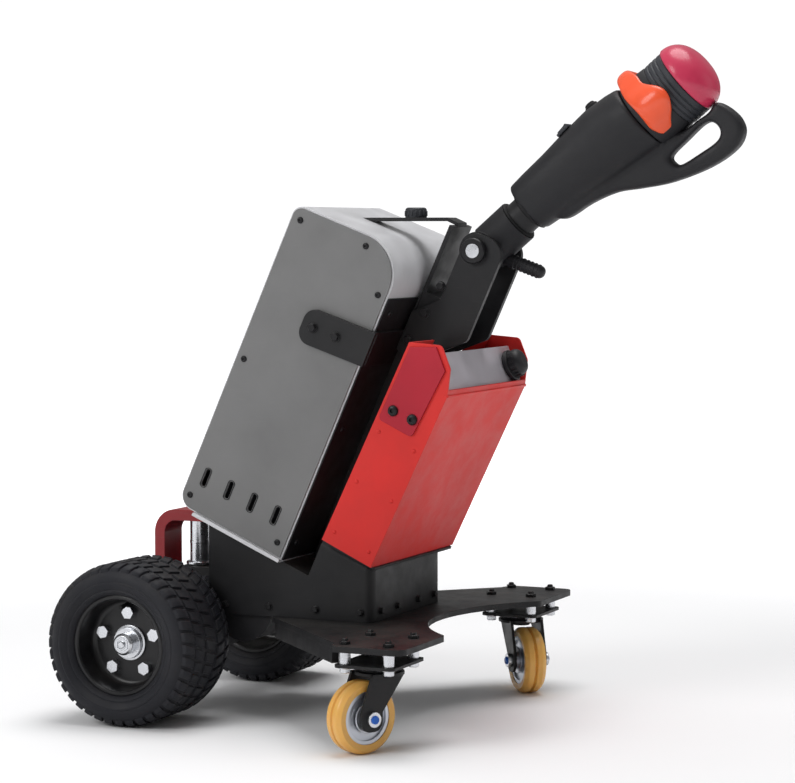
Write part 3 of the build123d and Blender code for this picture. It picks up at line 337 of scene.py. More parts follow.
def finish(name):
    """The procedural material of a finish, built once."""
    if name in BUILT:
        return BUILT[name]
    colours, sizes = bpy.context.scene.tug_colours, bpy.context.scene.tug_sizes
    base, bare_and_highlight, metallic, rough, coat, scale, height, pits, scratches, wear, dust = FINISHES[name]
    rgb = tuple(getattr(colours, base)) if isinstance(base, str) else tuple(linear(*base))
    bare_and_highlight = (*linear(*bare_and_highlight), 1.0)
    material = bpy.data.materials.new(name)
    material.use_nodes = True
    tree = material.node_tree
    grain = effect(tree, "grain", grain_scale=float(scale), shade_scale=6.0, pits=pits)
    # The edge mask marks paint loss and a painted highlight on sharp edges.
    edge = effect(tree, "edge", radius=sizes.edge_radius, amount=sizes.wear * wear, break_up=110.0)
    settled = effect(tree, "dust", amount=min(1.0, sizes.dust * dust), patch_size=11.0)
    lighter = (*[min(1.0, value * 1.1 + 0.004) for value in rgb], 1.0)
    darker = (*[value * 0.9 for value in rgb], 1.0)
    shaded = mix_colour(tree, remap(tree, grain["Shade"], 0.3, 0.7), darker, lighter)
    # Sharp edges go towards the colour under the paint: partly paint loss, partly a painted edge highlight.
    worn_and_highlit = mix_colour(tree, edge["Mask"], shaded, bare_and_highlight)
    if scratches:
        stroke = effect(tree, "scratch", stretch=(3.0, 3.0, 60.0), scale=9.0, low=0.62, high=0.74)
        worn_and_highlit = mix_colour(tree, maths(tree, "MULTIPLY", stroke["Mask"], scratches * 0.4), worn_and_highlit, bare_and_highlight)
    gloss = remap(tree, grain["Gloss change"], 0.3, 0.72, max(0.05, rough - 0.06), rough + 0.1)
    bump = tree.nodes.new("ShaderNodeBump")
    feed(tree, bump, {
        "Strength": 1.0, "Distance": height / 1000, "Height": grain["Height"], "Normal": edge["Normal"],
    })
    looks = {
        "Metallic": metallic, "Coat Weight": coat, "Coat Roughness": 0.12,
        "Specular IOR Level": 0.5 if min(rgb) > 0.05 else 0.3,
        "Base Color": mix_colour(tree, settled["Mask"], worn_and_highlit, DUST_COLOUR),
        "Roughness": maths(tree, "MULTIPLY_ADD", settled["Mask"], 0.4, gloss, clamp=True),
        "Normal": bump.outputs["Normal"],
    }
    if name == "castor_amber":
        looks.update({"Subsurface Weight": 0.25, "Subsurface Radius": (0.004, 0.002, 0.001)})
    feed(tree, tree.nodes["Principled BSDF"], looks)
    BUILT[name] = material
    return material


def placed(name, data):
    """An object in the scene that shows the data."""
    piece = bpy.data.objects.new(name, data)
    bpy.context.scene.collection.objects.link(piece)
    return piece


def dress(name, mesh, material, body, slot=None, smooth=35.0, nodes=()):
    """Makes an object of a finished mesh, with its finish, and sets it on its body."""
    mesh.materials.clear()
    mesh.materials.append(finish(material))
    mesh.shade_smooth()
    mesh.set_sharp_from_angle(angle=radians(smooth))
    piece = placed(name, mesh)
    if nodes:
        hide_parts(*nodes)
    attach(piece, body)
    return piece


def to_mesh(name, bm, place=HERE, weld=WELD, units=MILLI):
    """Closes a bmesh in local millimetres into a mesh in the row's frame."""
    bmesh.ops.remove_doubles(bm, verts=bm.verts, dist=weld)
    bmesh.ops.recalc_face_normals(bm, faces=bm.faces)
    bm.transform(place @ units)
    mesh = bpy.data.meshes.new(name)
    bm.to_mesh(mesh)
    bm.free()
    return mesh


def add(name, bm, place, material, body="chassis", **looks):
    """Closes a bmesh and dresses it as a piece of a body."""
    return dress(name, to_mesh(name, bm, place), material, body, **looks)


def skin(bm, rings, turned=False, loop=False):
    """Quads between neighbouring rings of points, with a face at each end unless the rings loop."""
    rings = [[bm.verts.new(point) for point in ring] for ring in rings]
    for first, second in zip(rings, rings[1:] + rings[:1] if loop else rings[1:]):
        for index in range(len(first)):
            after = (index + 1) % len(first)
            face = [first[index], first[after], second[after], second[index]]
            bm.faces.new(face[:1] + face[:0:-1] if turned else face)
    if not loop:
        bm.faces.new(rings[0] if turned else rings[0][::-1])
        bm.faces.new(rings[-1][::-1] if turned else rings[-1])
    return bm


def lathe(bm, profile, segments=72, axis="Y", closed=True, place=HERE):
    """Turns a profile of (radius, distance along) about an axis. A closed profile makes a ring."""
    rings = []
    for radius, along in profile:
        ring = []
        for turn in turns(segments):
            a, b = radius * cos(turn), radius * sin(turn)
            point = {"X": (along, a, b), "Y": (b, along, a), "Z": (a, b, along)}[axis]
            ring.append(place @ Vector(point))
        rings.append(ring)
    return skin(bm, rings, loop=closed)


def mirrored_lathe(bm, profile, segments, closed=True):
    """Turns a profile about Y, once on each side of the middle plane."""
    for sign in (1, -1):
        lathe(bm, [(radius, sign * along) for radius, along in profile], segments, closed=closed)
    return bm


def prism(bm, outline, low, high, place=HERE, bevel=0.0, steps=2):
    """A plate with an XZ outline between two distances along Y, its edges rounded."""
    before = set(bm.faces)
    skin(bm, [[place @ Vector((x, y, z)) for x, z in outline] for y in (low, high)], turned=True)
    if bevel:
        edges = {edge for face in bm.faces if face not in before for edge in face.edges}
        bmesh.ops.bevel(bm, geom=list(edges), offset=bevel, segments=steps, affect="EDGES", profile=0.5)
    return bm


def ribs(count, outline, half, bevel):
    """Equal ribs spread round the Z axis."""
    bm = bmesh.new()
    for turn in turns(count):
        prism(bm, outline, -half, half, place=Matrix.Rotation(turn, 4, "Z"), bevel=bevel, steps=1)
    return bm


def smooth_loop(points, steps=8):
    """Closed curve through points, rounded by a Catmull-Rom rule."""
    result = []
    count = len(points)
    for index in range(count):
        p0, p1, p2, p3 = (Vector(points[(index + offset) % count]) for offset in (-1, 0, 1, 2))
        for step in range(steps):
            t = step / steps
            result.append(0.5 * (2 * p1 + (p2 - p0) * t + (2 * p0 - 5 * p1 + 4 * p2 - p3) * t ** 2
                                 + (3 * p1 - p0 - 3 * p2 + p3) * t ** 3))
    return result


def superellipse(half_a, half_b, power, segments):
    """Points of a rounded rectangle between an ellipse and a box."""
    points = []
    for turn in turns(segments):
        c, s = cos(turn), sin(turn)
        points.append((half_a * abs(c) ** (2 / power) * (1 if c >= 0 else -1),
                       half_b * abs(s) ** (2 / power) * (1 if s >= 0 else -1)))
    return points


def loft(bm, stations, segments=48):
    """Skin over cross-sections: along, middle height, half height, half width and squareness."""
    rings = [
        [(along, y, middle + z) for y, z in superellipse(half_width, half_height, power, segments)]
        for along, middle, half_height, half_width, power in stations
    ]
    return skin(bm, rings, turned=True)


def evaluated_copy(piece, name):
    """Plain mesh of an object with its modifiers, after which the object is removed."""
    graph = bpy.context.evaluated_depsgraph_get()
    mesh = bpy.data.meshes.new_from_object(piece.evaluated_get(graph), depsgraph=graph)
    old = piece.data
    bpy.data.objects.remove(piece)
    (bpy.data.curves if isinstance(old, bpy.types.Curve) else bpy.data.meshes).remove(old)
    mesh.name = name
    return mesh


def spread(tree, ends, points, instance, rotation):
    """Sets an instance on each point, makes the copies real and gives them the finish."""
    start, end = ends
    copies, real, paint = make_nodes(
        tree, "GeometryNodeInstanceOnPoints", "GeometryNodeRealizeInstances", "GeometryNodeSetMaterial",
    )
    wire(tree, [
        (points, copies.inputs["Points"]), (instance, copies.inputs["Instance"]),
        (rotation, copies.inputs["Rotation"]), (copies.outputs["Instances"], real.inputs["Geometry"]),
        (real.outputs["Geometry"], paint.inputs["Geometry"]), (start.outputs["Finish"], paint.inputs["Material"]),
        (paint.outputs["Geometry"], end.inputs["Geometry"]),
    ])
    return copies


def ring_tree():
    """Repeats the host's own mesh round the Y axis."""
    tree, *ends = new_group(
        "Repeat round axle",
        [("Geometry", "geometry"), ("Count", "int", 12), ("Step", "float", 0.5), ("Finish", "material")],
        [("Geometry", "geometry")], "GeometryNodeTree",
    )
    given = ends[0].outputs
    line, index, turn, turned = make_nodes(
        tree, "GeometryNodeMeshLine", "GeometryNodeInputIndex", "ShaderNodeCombineXYZ", "FunctionNodeEulerToRotation",
    )
    line.mode = "OFFSET"
    line.inputs["Offset"].default_value = (0, 0, 0)
    wire(tree, [
        (given["Count"], line.inputs["Count"]), (turn.outputs["Vector"], turned.inputs["Euler"]),
        (maths(tree, "MULTIPLY", index.outputs[0], given["Step"]), turn.inputs["Y"]),
    ])
    spread(tree, ends, line.outputs["Mesh"], given["Geometry"], turned.outputs["Rotation"])
    return tree


def fastener_tree():
    """Sets one fastener on each point of the host, along its aim, each turned by chance."""
    tree, *ends = new_group(
        "Fasteners on points",
        [("Geometry", "geometry"), ("Fastener", "object"), ("Size", "float", 1.0), ("Seed", "int", 3),
         ("Finish", "material")],
        [("Geometry", "geometry")], "GeometryNodeTree",
    )
    given = ends[0].outputs
    aim, face, chance, vector, spin, turn, source, size = make_nodes(
        tree, "GeometryNodeInputNamedAttribute", "FunctionNodeAlignRotationToVector", "FunctionNodeRandomValue",
        "ShaderNodeCombineXYZ", "FunctionNodeEulerToRotation", "FunctionNodeRotateRotation",
        "GeometryNodeObjectInfo", "ShaderNodeCombineXYZ",
    )
    aim.data_type = "FLOAT_VECTOR"
    aim.inputs["Name"].default_value = "aim"
    face.axis = "Z"
    chance.data_type = "FLOAT"
    chance.inputs[2].default_value = 0.0
    chance.inputs[3].default_value = 2 * pi
    turn.rotation_space = "LOCAL"
    wire(tree, [
        (aim.outputs["Attribute"], face.inputs["Vector"]), (given["Seed"], chance.inputs["Seed"]),
        (chance.outputs[1], vector.inputs["Z"]), (vector.outputs["Vector"], spin.inputs["Euler"]),
        (face.outputs["Rotation"], turn.inputs["Rotation"]), (spin.outputs["Rotation"], turn.inputs["Rotate By"]),
        (given["Fastener"], source.inputs["Object"]), *[(given["Size"], size.inputs[axis]) for axis in "XYZ"],
    ])
    copies = spread(tree, ends, given["Geometry"], source.outputs["Geometry"], turn.outputs["Rotation"])
    wire(tree, [(size.outputs["Vector"], copies.inputs["Scale"])])
    return tree


TREES = {}


def grow(piece, maker, **values):
    """Runs a geometry node tree on an object and returns the plain mesh."""
    if maker not in TREES:
        TREES[maker] = maker()
    tree = TREES[maker]
    modifier = piece.modifiers.new("grow", "NODES")
    modifier.node_group = tree
    names = {item.name: item.identifier for item in tree.interface.items_tree if item.in_out == "INPUT"}
    for key, value in values.items():
        modifier[names[key.capitalize()]] = value
    piece.update_tag()
    return evaluated_copy(piece, piece.name)


# Fasteners one unit across, standing on Z = 0: sides and a profile of (radius, height) for each turned part
FINE_TIP, FINE_WELD = 0.0001, 0.0005
FASTENERS = {
    "hex": [
        (28, [(0.66, 0.0), (0.66, 0.1), (0.62, 0.14), (FINE_TIP, 0.14)]),
        (6, [(0.577, 0.12), (0.577, 0.52), (0.49, 0.6), (FINE_TIP, 0.6)]),
    ],
    "button": [
        (24, [(0.5, -0.02), (0.5, 0.08), (0.44, 0.2), (0.3, 0.28), (0.2, 0.28), (0.2, 0.1), (FINE_TIP, 0.1)]),
    ],
    "rivet": [(20, [(0.5, -0.02), (0.5, 0.04), (0.42, 0.16), (0.24, 0.24), (FINE_TIP, 0.27)])],
    "nut": [(6, [(0.58, 0.0), (0.58, 0.3), (0.5, 0.36), (0.34, 0.36), (0.34, 0.5), (0.26, 0.62), (FINE_TIP, 0.64)])],
}


def both_sides(place, points):
    """Rows of fasteners at points beside the middle plane and at their mirrored places, aimed outwards."""
    return [(place, (x, sign * y, z), (0, sign, 0)) for sign in SIGNS for x, y, z in points]


def fasteners(name, kind, across, rows, material="screw_black", seed=3):
    """Like fasteners on the chassis: each row is a frame, a local point and a local direction."""
    mesh = bpy.data.meshes.new(name)
    mesh.from_pydata([place @ MILLI @ Vector(point) for place, point, aim in rows], [], [])
    stored = mesh.attributes.new("aim", "FLOAT_VECTOR", "POINT")
    for entry, (place, point, aim) in zip(stored.data, rows):
        entry.vector = (place.to_3x3() @ Vector(aim)).normalized()
    bm = bmesh.new()
    for sides, profile in FASTENERS[kind]:
        lathe(bm, profile, sides, "Z", closed=False)
    shape = placed("fastener_" + kind, to_mesh("fastener_" + kind, bm, HERE, FINE_WELD, HERE))
    grown = grow(
        placed(name, mesh), fastener_tree, fastener=shape, size=across, seed=seed, finish=finish(material)
    )
    bpy.data.objects.remove(shape)
    return dress(name, grown, material, "chassis", smooth=30.0)


class TugOperator(bpy.types.Operator):
    """Shared settings of the tow tractor's operators."""
    bl_idname = "tug.base"
    bl_label = "Tow tractor piece"
    bl_options = {"REGISTER", "UNDO"}

    def execute(self, context):
        self.make(context.scene.tug_sizes)
        return {"FINISHED"}


class TugFinishes(TugOperator):
    """Gives every solid of the frame its procedural finish"""
    bl_idname = "tug.finishes"
    bl_label = "Finish the solids"

    def make(self, sizes):
        slots = {row["node"]: row["material_slot"] for row in frame["record"]["subparts"]}
        for name, node in NODES.items():
            node.data.materials.clear()
            node.data.materials.append(finish(slots[name]))


class TugTyres(TugOperator):
    """Makes the drive tyres with their carcass, side walls and lugged tread"""
    bl_idname = "tug.tyres"
    bl_label = "Drive tyres"
    # Rows of lugs: side, place from the tyre's edge, width, shift in pitches, drop of the outward end
    LUG_ROWS = (
        (-1, 15.5, 17, 0.0, 5.5), (-1, 38, 20, 0.5, 0.6), (0, 0, 22, 0.0, 0.0), (1, 38, 20, 0.5, 0.6),
        (1, 15.5, 17, 0.0, 5.5),
    )
    LUG_SHARE = 0.74
    LUG_ROOT = 3.5

    def make(self, sizes):
        depth = sizes.tread_depth * 1000
        for side in SIDES:
            low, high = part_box("drive_tyre_" + side)
            outer = (high.z - low.z) * 500
            half = (high.y - low.y) * 500
            place = spot((low + high) / 2)
            self.carcass(side, place, outer - depth, half)
            self.tread(side, place, outer, half, depth, sizes)

    def carcass(self, side, place, outer, half):
        inner = TYRE_BORE_R
        wall = [
            (inner, half - 13), (inner + 4, half - 7), (inner + 7, half - 5), (inner + 9, half - 5.6),
            (inner + 12, half - 2.4), (inner + 16, half - 1.4), (inner + 17, half - 0.5), (inner + 19, half - 0.5),
            (inner + 20, half - 1.4), (outer - 17, half - 0.9), (outer - 10, half - 4.6), (outer - 4.5, half - 10.5),
            (outer - 0.8, half - 18), (outer, half - 26),
        ]
        profile = wall + [(radius, -along) for radius, along in reversed(wall)]
        add("tyre_carcass_" + side, lathe(bmesh.new(), profile, 120), place, "tyre_black", "drive_wheel_" + side,
            smooth=40, nodes=["drive_tyre_" + side])

    def tread(self, side, place, outer, half, depth, sizes):
        bm = bmesh.new()
        pitch = 360 / sizes.tread_count
        slant = sizes.tread_slant * 1000
        for sign, inward, width, shift, drop in self.LUG_ROWS:
            lean = -slant if sign > 0 else slant
            self.lug(bm, sign * (half - inward), width, shift * pitch, pitch, outer, depth, drop, lean)
        host = placed("tyre_tread_" + side, to_mesh("tyre_tread_" + side, bm))
        grown = grow(host, ring_tree, count=sizes.tread_count, step=radians(pitch), finish=finish("tyre_black"))
        grown.transform(place)
        dress("tyre_tread_" + side, grown, "tyre_black", "drive_wheel_" + side, smooth=50)

    def lug(self, bm, at, width, start, pitch, outer, depth, drop, slant):
        """One lug from below the carcass to the tread, drop lower at its outward end."""
        out = 1 if at > 0 else -1
        span = pitch * self.LUG_SHARE
        rings = []
        for level, inset in ((-depth - self.LUG_ROOT, 0.0), (-0.9, 0.15), (0.0, 0.9)):
            ring = []
            for u, v in ((0, 0), (0.5, 0), (1, 0), (1, 0.5), (1, 1), (0.5, 1), (0, 1), (0, 0.5)):
                y = at + (v - 0.5) * (width - 2 * inset)
                lean = slant * (v - 0.5)
                reach = max(0.0, (y - at) * out / (width / 2) + 1) / 2
                radius = outer + level - drop * reach ** 1.6
                turn = radians(start + (u - 0.5) * span) + (lean - (2 * u - 1) * inset) / outer
                ring.append((radius * sin(turn), y, radius * cos(turn)))
            rings.append(ring)
        skin(bm, rings)


class TugWheelTrim(TugOperator):
    """Adds the rims' bead lips, the valve stems and the axles' end nuts"""
    bl_idname = "tug.wheel_trim"
    bl_label = "Wheel trim"
    VALVE_FROM_AXLE = 55
    VALVE_IN = 31
    VALVE_LEAN = -8

    def make(self, sizes):
        for side, sign in zip(SIDES, SIGNS):
            low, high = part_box("drive_rim_" + side)
            outward = spot((low + high) / 2, 0 if sign > 0 else 180, "Z")
            half = (high.y - low.y) * 500
            body = "drive_wheel_" + side
            lip = [
                (63.2, -7), (63.2, 0.6), (64.6, 2.4), (67.6, 2.8), (69.6, 1.6), (69.8, -0.4), (66.0, -2.0), (65.4, -7),
            ]
            lips = mirrored_lathe(bmesh.new(), [(radius, half + along) for radius, along in lip], 96)
            add("rim_lips_" + side, lips, outward, "rim_black", body)
            stem = [(TIP, 0), (4.2, 0), (4.2, 3), (3.0, 5), (2.6, 17), (3.3, 18), (3.3, 25), (2.4, 26.5), (TIP, 26.5)]
            seat = spot((0, half - self.VALVE_IN, self.VALVE_FROM_AXLE), self.VALVE_LEAN, "X")
            valve = lathe(bmesh.new(), stem, 20, "Y", closed=False, place=seat)
            add("valve_stem_" + side, valve, outward, "seam_dark", body)
            hub = bmesh.new()
            for profile, segments, closed in (
                ([(21.4, 1), (24.5, 1), (24.5, 3.2), (21.4, 3.8)], 48, True),
                ([(7.5, 23.5), (10.5, 23.5), (10.5, 25.2), (7.5, 25.2)], 6, True),
                ([(TIP, 23.4), (5.0, 23.4), (5.0, 26.4), (4.0, 27.4), (TIP, 27.4)], 24, False),
            ):
                lathe(hub, [(radius, HUB_FACE + along) for radius, along in profile], segments, closed=closed)
            add("hub_trim_" + side, hub, outward, "bright_steel", body)


class TugCastorTrim(TugOperator):
    """Adds nuts, bolt heads, races, seals and axle caps to the swivel castors"""
    bl_idname = "tug.castor_trim"
    bl_label = "Castor trim"
    BOLT_X, BOLT_Y = 31, 40
    BOLT_ACROSS = 0.013
    PLATE_T = 4.0
    CAP_FROM_MIDDLE = 31

    def make(self, sizes):
        corners = [(x, y) for x in (-self.BOLT_X, self.BOLT_X) for y in (-self.BOLT_Y, self.BOLT_Y)]
        up = Vector((0, 0, 1))
        for side in SIDES:
            swivel = Vector(JOINTS[f"castor_{side}_swivel"]["pos_m"])
            spin = JOINTS[f"castor_{side}_spin"]
            across = Vector(spin["axis"]).normalized()
            axes = Matrix((across.cross(up), across, up)).transposed().to_4x4()
            wheel = spot(spin["pos_m"]) @ axes
            top, under = (
                spot((swivel.x, swivel.y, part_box(node)[1].z)) for node in ("chassis_plate", "castor_plate_" + side)
            )
            nuts = [(top, (x, y, 0.0), (0, 0, 1)) for x, y in corners]
            heads = [(under, (x, y, -self.PLATE_T), (0, 0, -1)) for x, y in corners]
            fasteners("castor_nuts_" + side, "nut", self.BOLT_ACROSS, nuts, "screw_black", 5)
            fasteners("castor_heads_" + side, "hex", self.BOLT_ACROSS, heads, "bright_steel", 6)
            race = [(25, 0.2), (34.6, 0.2), (35.4, 1.4), (35.0, 3.0), (32.6, 4.4), (25, 4.4)]
            race = [(radius, -self.PLATE_T - below) for radius, below in race]
            add("castor_race_" + side, lathe(bmesh.new(), race, 72, "Z"), under, "bright_steel")
            seal = [(12.4, 14.0), (19.5, 14.0), (20.0, 15.2), (19.0, 16.0), (12.8, 16.2)]
            add("castor_seal_" + side, mirrored_lathe(bmesh.new(), seal, 48), wheel, "castor_hub",
                "castor_wheel_" + side)
            cap = [(TIP, -0.5), (5.6, -0.5), (5.6, 1.6), (4.2, 2.6), (TIP, 2.6)]
            cap = [(radius, self.CAP_FROM_MIDDLE + along) for radius, along in cap]
            add("castor_cap_" + side, mirrored_lathe(bmesh.new(), cap, 24, closed=False), wheel, "nut_blue",
                "castor_swivel_" + side, slot="bright_steel")


class TugHousingTrim(TugOperator):
    """Adds screws, the frames of the vent slots and the floor's bright lip to the housing"""
    bl_idname = "tug.housing_trim"
    bl_label = "Housing trim"
    SCREWS_AT = ((14, 20), (14, 230), (16, 440), (120, 448), (163, 20), (163, 395))
    SLOTS, SLOT_PITCH, FIRST_SLOT, SLOT_HEIGHT = 4, 39.5, 27, 53.0
    SLOT_R, SLOT_STRAIGHT_HALF, SLOT_POINTS = 4.3, 9.5, 24
    FRAME_PROUD = 0.7
    REAR_SCREWS_X, REAR_SCREWS_Y, REAR_SCREWS_AT = 179.2, 104, (26, 200, 374)

    def make(self, sizes):
        rows = both_sides(LEANING, [(s, HOUSING_HALF, t) for s, t in self.SCREWS_AT])
        fasteners("panel_screws", "button", sizes.screw_head, rows, seed=11)
        bm = bmesh.new()
        for sign in SIGNS:
            for index in range(self.SLOTS):
                self.slot_frame(bm, self.FIRST_SLOT + self.SLOT_PITCH * index, sign)
        add("vent_frames", bm, LEANING, "screw_black")
        bm = bmesh.new()
        for sign in SIGNS:
            prism(bm, [(31, -0.6), (176.5, -0.6), (176.5, 0.9), (31, 0.9)], *sorted((sign * 128.4, sign * 132.6)),
                  bevel=0.4, steps=1)
        add("floor_lip", bm, LEANING, "cover_silver")
        rows = [
            (LEANING, (self.REAR_SCREWS_X, sign * self.REAR_SCREWS_Y, t), (1, 0, 0))
            for sign in SIGNS for t in self.REAR_SCREWS_AT
        ]
        fasteners("rear_panel_screws", "button", sizes.screw_head, rows, seed=12)

    def slot_frame(self, bm, x, sign):
        """A thin raised frame round one vent slot."""
        z = self.SLOT_HEIGHT
        inner = []
        for turn in turns(self.SLOT_POINTS):
            lift = self.SLOT_STRAIGHT_HALF if sin(turn) >= 0 else -self.SLOT_STRAIGHT_HALF
            inner.append((x + self.SLOT_R * cos(turn), z + self.SLOT_R * sin(turn) + lift))
        outer = [(x + (px - x) * 1.28, z + (pz - z) * 1.07) for px, pz in inner]
        low, high = HOUSING_HALF * sign, (HOUSING_HALF + self.FRAME_PROUD) * sign
        corners = ((inner, low), (inner, high), (outer, high), (outer, low))
        skin(bm, [[(px, y, pz) for px, pz in points] for points, y in corners], loop=True)


class TugBatteryTrim(TugOperator):
    """Adds the box's screws, rivets and rolled rim and the plug's ribbed ring"""
    bl_idname = "tug.battery_trim"
    bl_label = "Battery trim"
    SCREWS_AT = ((20, 208), (50, 210))
    RIVETS_S, RIVETS_T = (12, 69), (18, 96, 172)
    SIDE_PLATE_T = 3
    PLUG_LEAN = 43

    def make(self, sizes):
        side = BATTERY_HALF + self.SIDE_PLATE_T
        screws = both_sides(BATTERY, [(s, side, t) for s, t in self.SCREWS_AT])
        rivets = both_sides(BATTERY, [(s, BATTERY_HALF, t) for s in self.RIVETS_S for t in self.RIVETS_T])
        fasteners("battery_screws", "button", 0.015, screws, seed=21)
        fasteners("battery_rivets", "rivet", 0.006, rivets, "battery_red", 22)
        rim_half = BATTERY_HALF + 0.6
        rim = [(77.4, 258.5), (82.6, 258.5), (82.6, 262.2), (77.4, 262.2)]
        add("battery_rim", prism(bmesh.new(), rim, -rim_half, rim_half, bevel=0.96, steps=3), BATTERY,
            "battery_red")
        low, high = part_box("battery_plug")
        tilt = spot((low + high) / 2, HOUSING_LEAN + BATTERY_LEAN + self.PLUG_LEAN)
        bm = ribs(18, [(18.6, -2), (20.0, -2), (20.0, 6), (18.6, 6)], 1.2, 0.4)
        lathe(bm, [(18.6, -9), (21.5, -9), (22.4, -8), (22.4, -4), (21.5, -3), (18.6, -3)], 48, "Z")
        add("plug_ring", bm, tilt, "plastic_black")


class TugFrameTrim(TugOperator):
    """Adds the bolts of the arms, column, base, motor case and hitch, the case's ribs and the weld beads"""
    bl_idname = "tug.frame_trim"
    bl_label = "Frame trim"
    ARM_BOLTS_AT = ((96, 136, 316), (132, 136, 319))
    COLUMN_BOLTS_AT = ((196, 42, 340), (203, 42, 384), (210, 42, 428))
    BASE_FACE, BASE_BACK, BASE_BOLTS_Z = 118, 318, 158
    BASE_BOLTS_X, BACK_BOLTS_Y = (92, 160, 232, 300), (-92, -36, 36, 92)
    CASE_BOLTS, CASE_BOLTS_R, CASE_FACE, CASE_TURN = 8, 39.5, 56, 0.2
    CASE_RIBS_AT = (70, 84, 98)
    HITCH_FACE, HITCH_BOLTS_Y, HITCH_BOLTS_Z = 54, (-34, 34), (206, 254)

    def make(self, sizes):
        rows = both_sides(LEANING, self.ARM_BOLTS_AT + self.COLUMN_BOLTS_AT)
        fasteners("arm_bolts", "hex", sizes.bolt_head * 0.8, rows, seed=31)
        z = self.BASE_BOLTS_Z
        rows = both_sides(UNDER_AXLE, [(x, self.BASE_FACE, z) for x in self.BASE_BOLTS_X])
        rows += [(UNDER_AXLE, (self.BASE_BACK, y, z), (1, 0, 0)) for y in self.BACK_BOLTS_Y]
        fasteners("base_bolts", "hex", sizes.bolt_head * 0.62, rows, seed=32)
        case = spot((DRIVE_AXLE.x, 0, DRIVE_AXLE.z))
        radius = self.CASE_BOLTS_R
        around = turns(self.CASE_BOLTS, self.CASE_TURN)
        rows = both_sides(case, [(radius * cos(turn), self.CASE_FACE, radius * sin(turn)) for turn in around])
        fasteners("case_bolts", "hex", sizes.bolt_head * 0.5, rows, seed=33)
        bm = bmesh.new()
        for at in self.CASE_RIBS_AT:
            mirrored_lathe(bm, [(35.0, at), (37.6, at + 1), (37.6, at + 4), (35.0, at + 5)], 64)
        add("case_ribs", bm, case, "cast_black")
        rows = [
            (UNDER_AXLE, (self.HITCH_FACE, y, z), (-1, 0, 0)) for y in self.HITCH_BOLTS_Y for z in self.HITCH_BOLTS_Z
        ]
        fasteners("hitch_bolts", "hex", sizes.bolt_head * 0.75, rows, seed=34)
        self.weld_beads()

    def weld_beads(self):
        """Weld beads along the arms' ends and the plate's ribs."""
        bm = bmesh.new()
        radius, ripple, pitch, points = 1.9, 0.35, 2.4, 8
        for sign in SIGNS:
            for x, y, low, high in ((183.6, 128.6, 300, 346), (184.4, 34.4, 322, 400)):
                start, end = Vector((x, sign * y, low)), Vector((x, sign * y, high))
                steps = 2 * max(2, round((end - start).length / pitch))
                way = (end - start).normalized()
                side = way.cross(Vector((0, 1, 0))).normalized()
                other = way.cross(side)
                rings = []
                for step in range(steps + 1):
                    size = radius + ripple * cos(step * pi)
                    centre = start.lerp(end, step / steps)
                    rings.append([
                        centre + side * size * cos(turn) + other * size * sin(turn) for turn in turns(points)
                    ])
                skin(bm, rings, turned=True)
        add("weld_beads", bm, LEANING, "frame_black", smooth=60)


class TugHitchTrim(TugOperator):
    """Adds the tow pin's ring and collar and the latch's pivot"""
    bl_idname = "tug.hitch_trim"
    bl_label = "Hitch trim"
    LATCH_PIVOT = (16, 7, 288)

    def make(self, sizes):
        low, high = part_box("tow_pin")
        place = spot(((low.x + high.x) / 2, 0, 0))
        bm = bmesh.new()
        lathe(bm, [(14.0, 195), (18.5, 195), (19.5, 196), (19.5, 199), (18.5, 200), (14.0, 200)], 48, "Z")
        lathe(bm, [(13.9, 226), (14.5, 226.4), (14.5, 229.6), (13.9, 230)], 48, "Z")
        add("pin_collar", bm, place, "bright_steel")
        fasteners("latch_pivot", "button", 0.01, both_sides(place, [self.LATCH_PIVOT]), "bright_steel", 41)


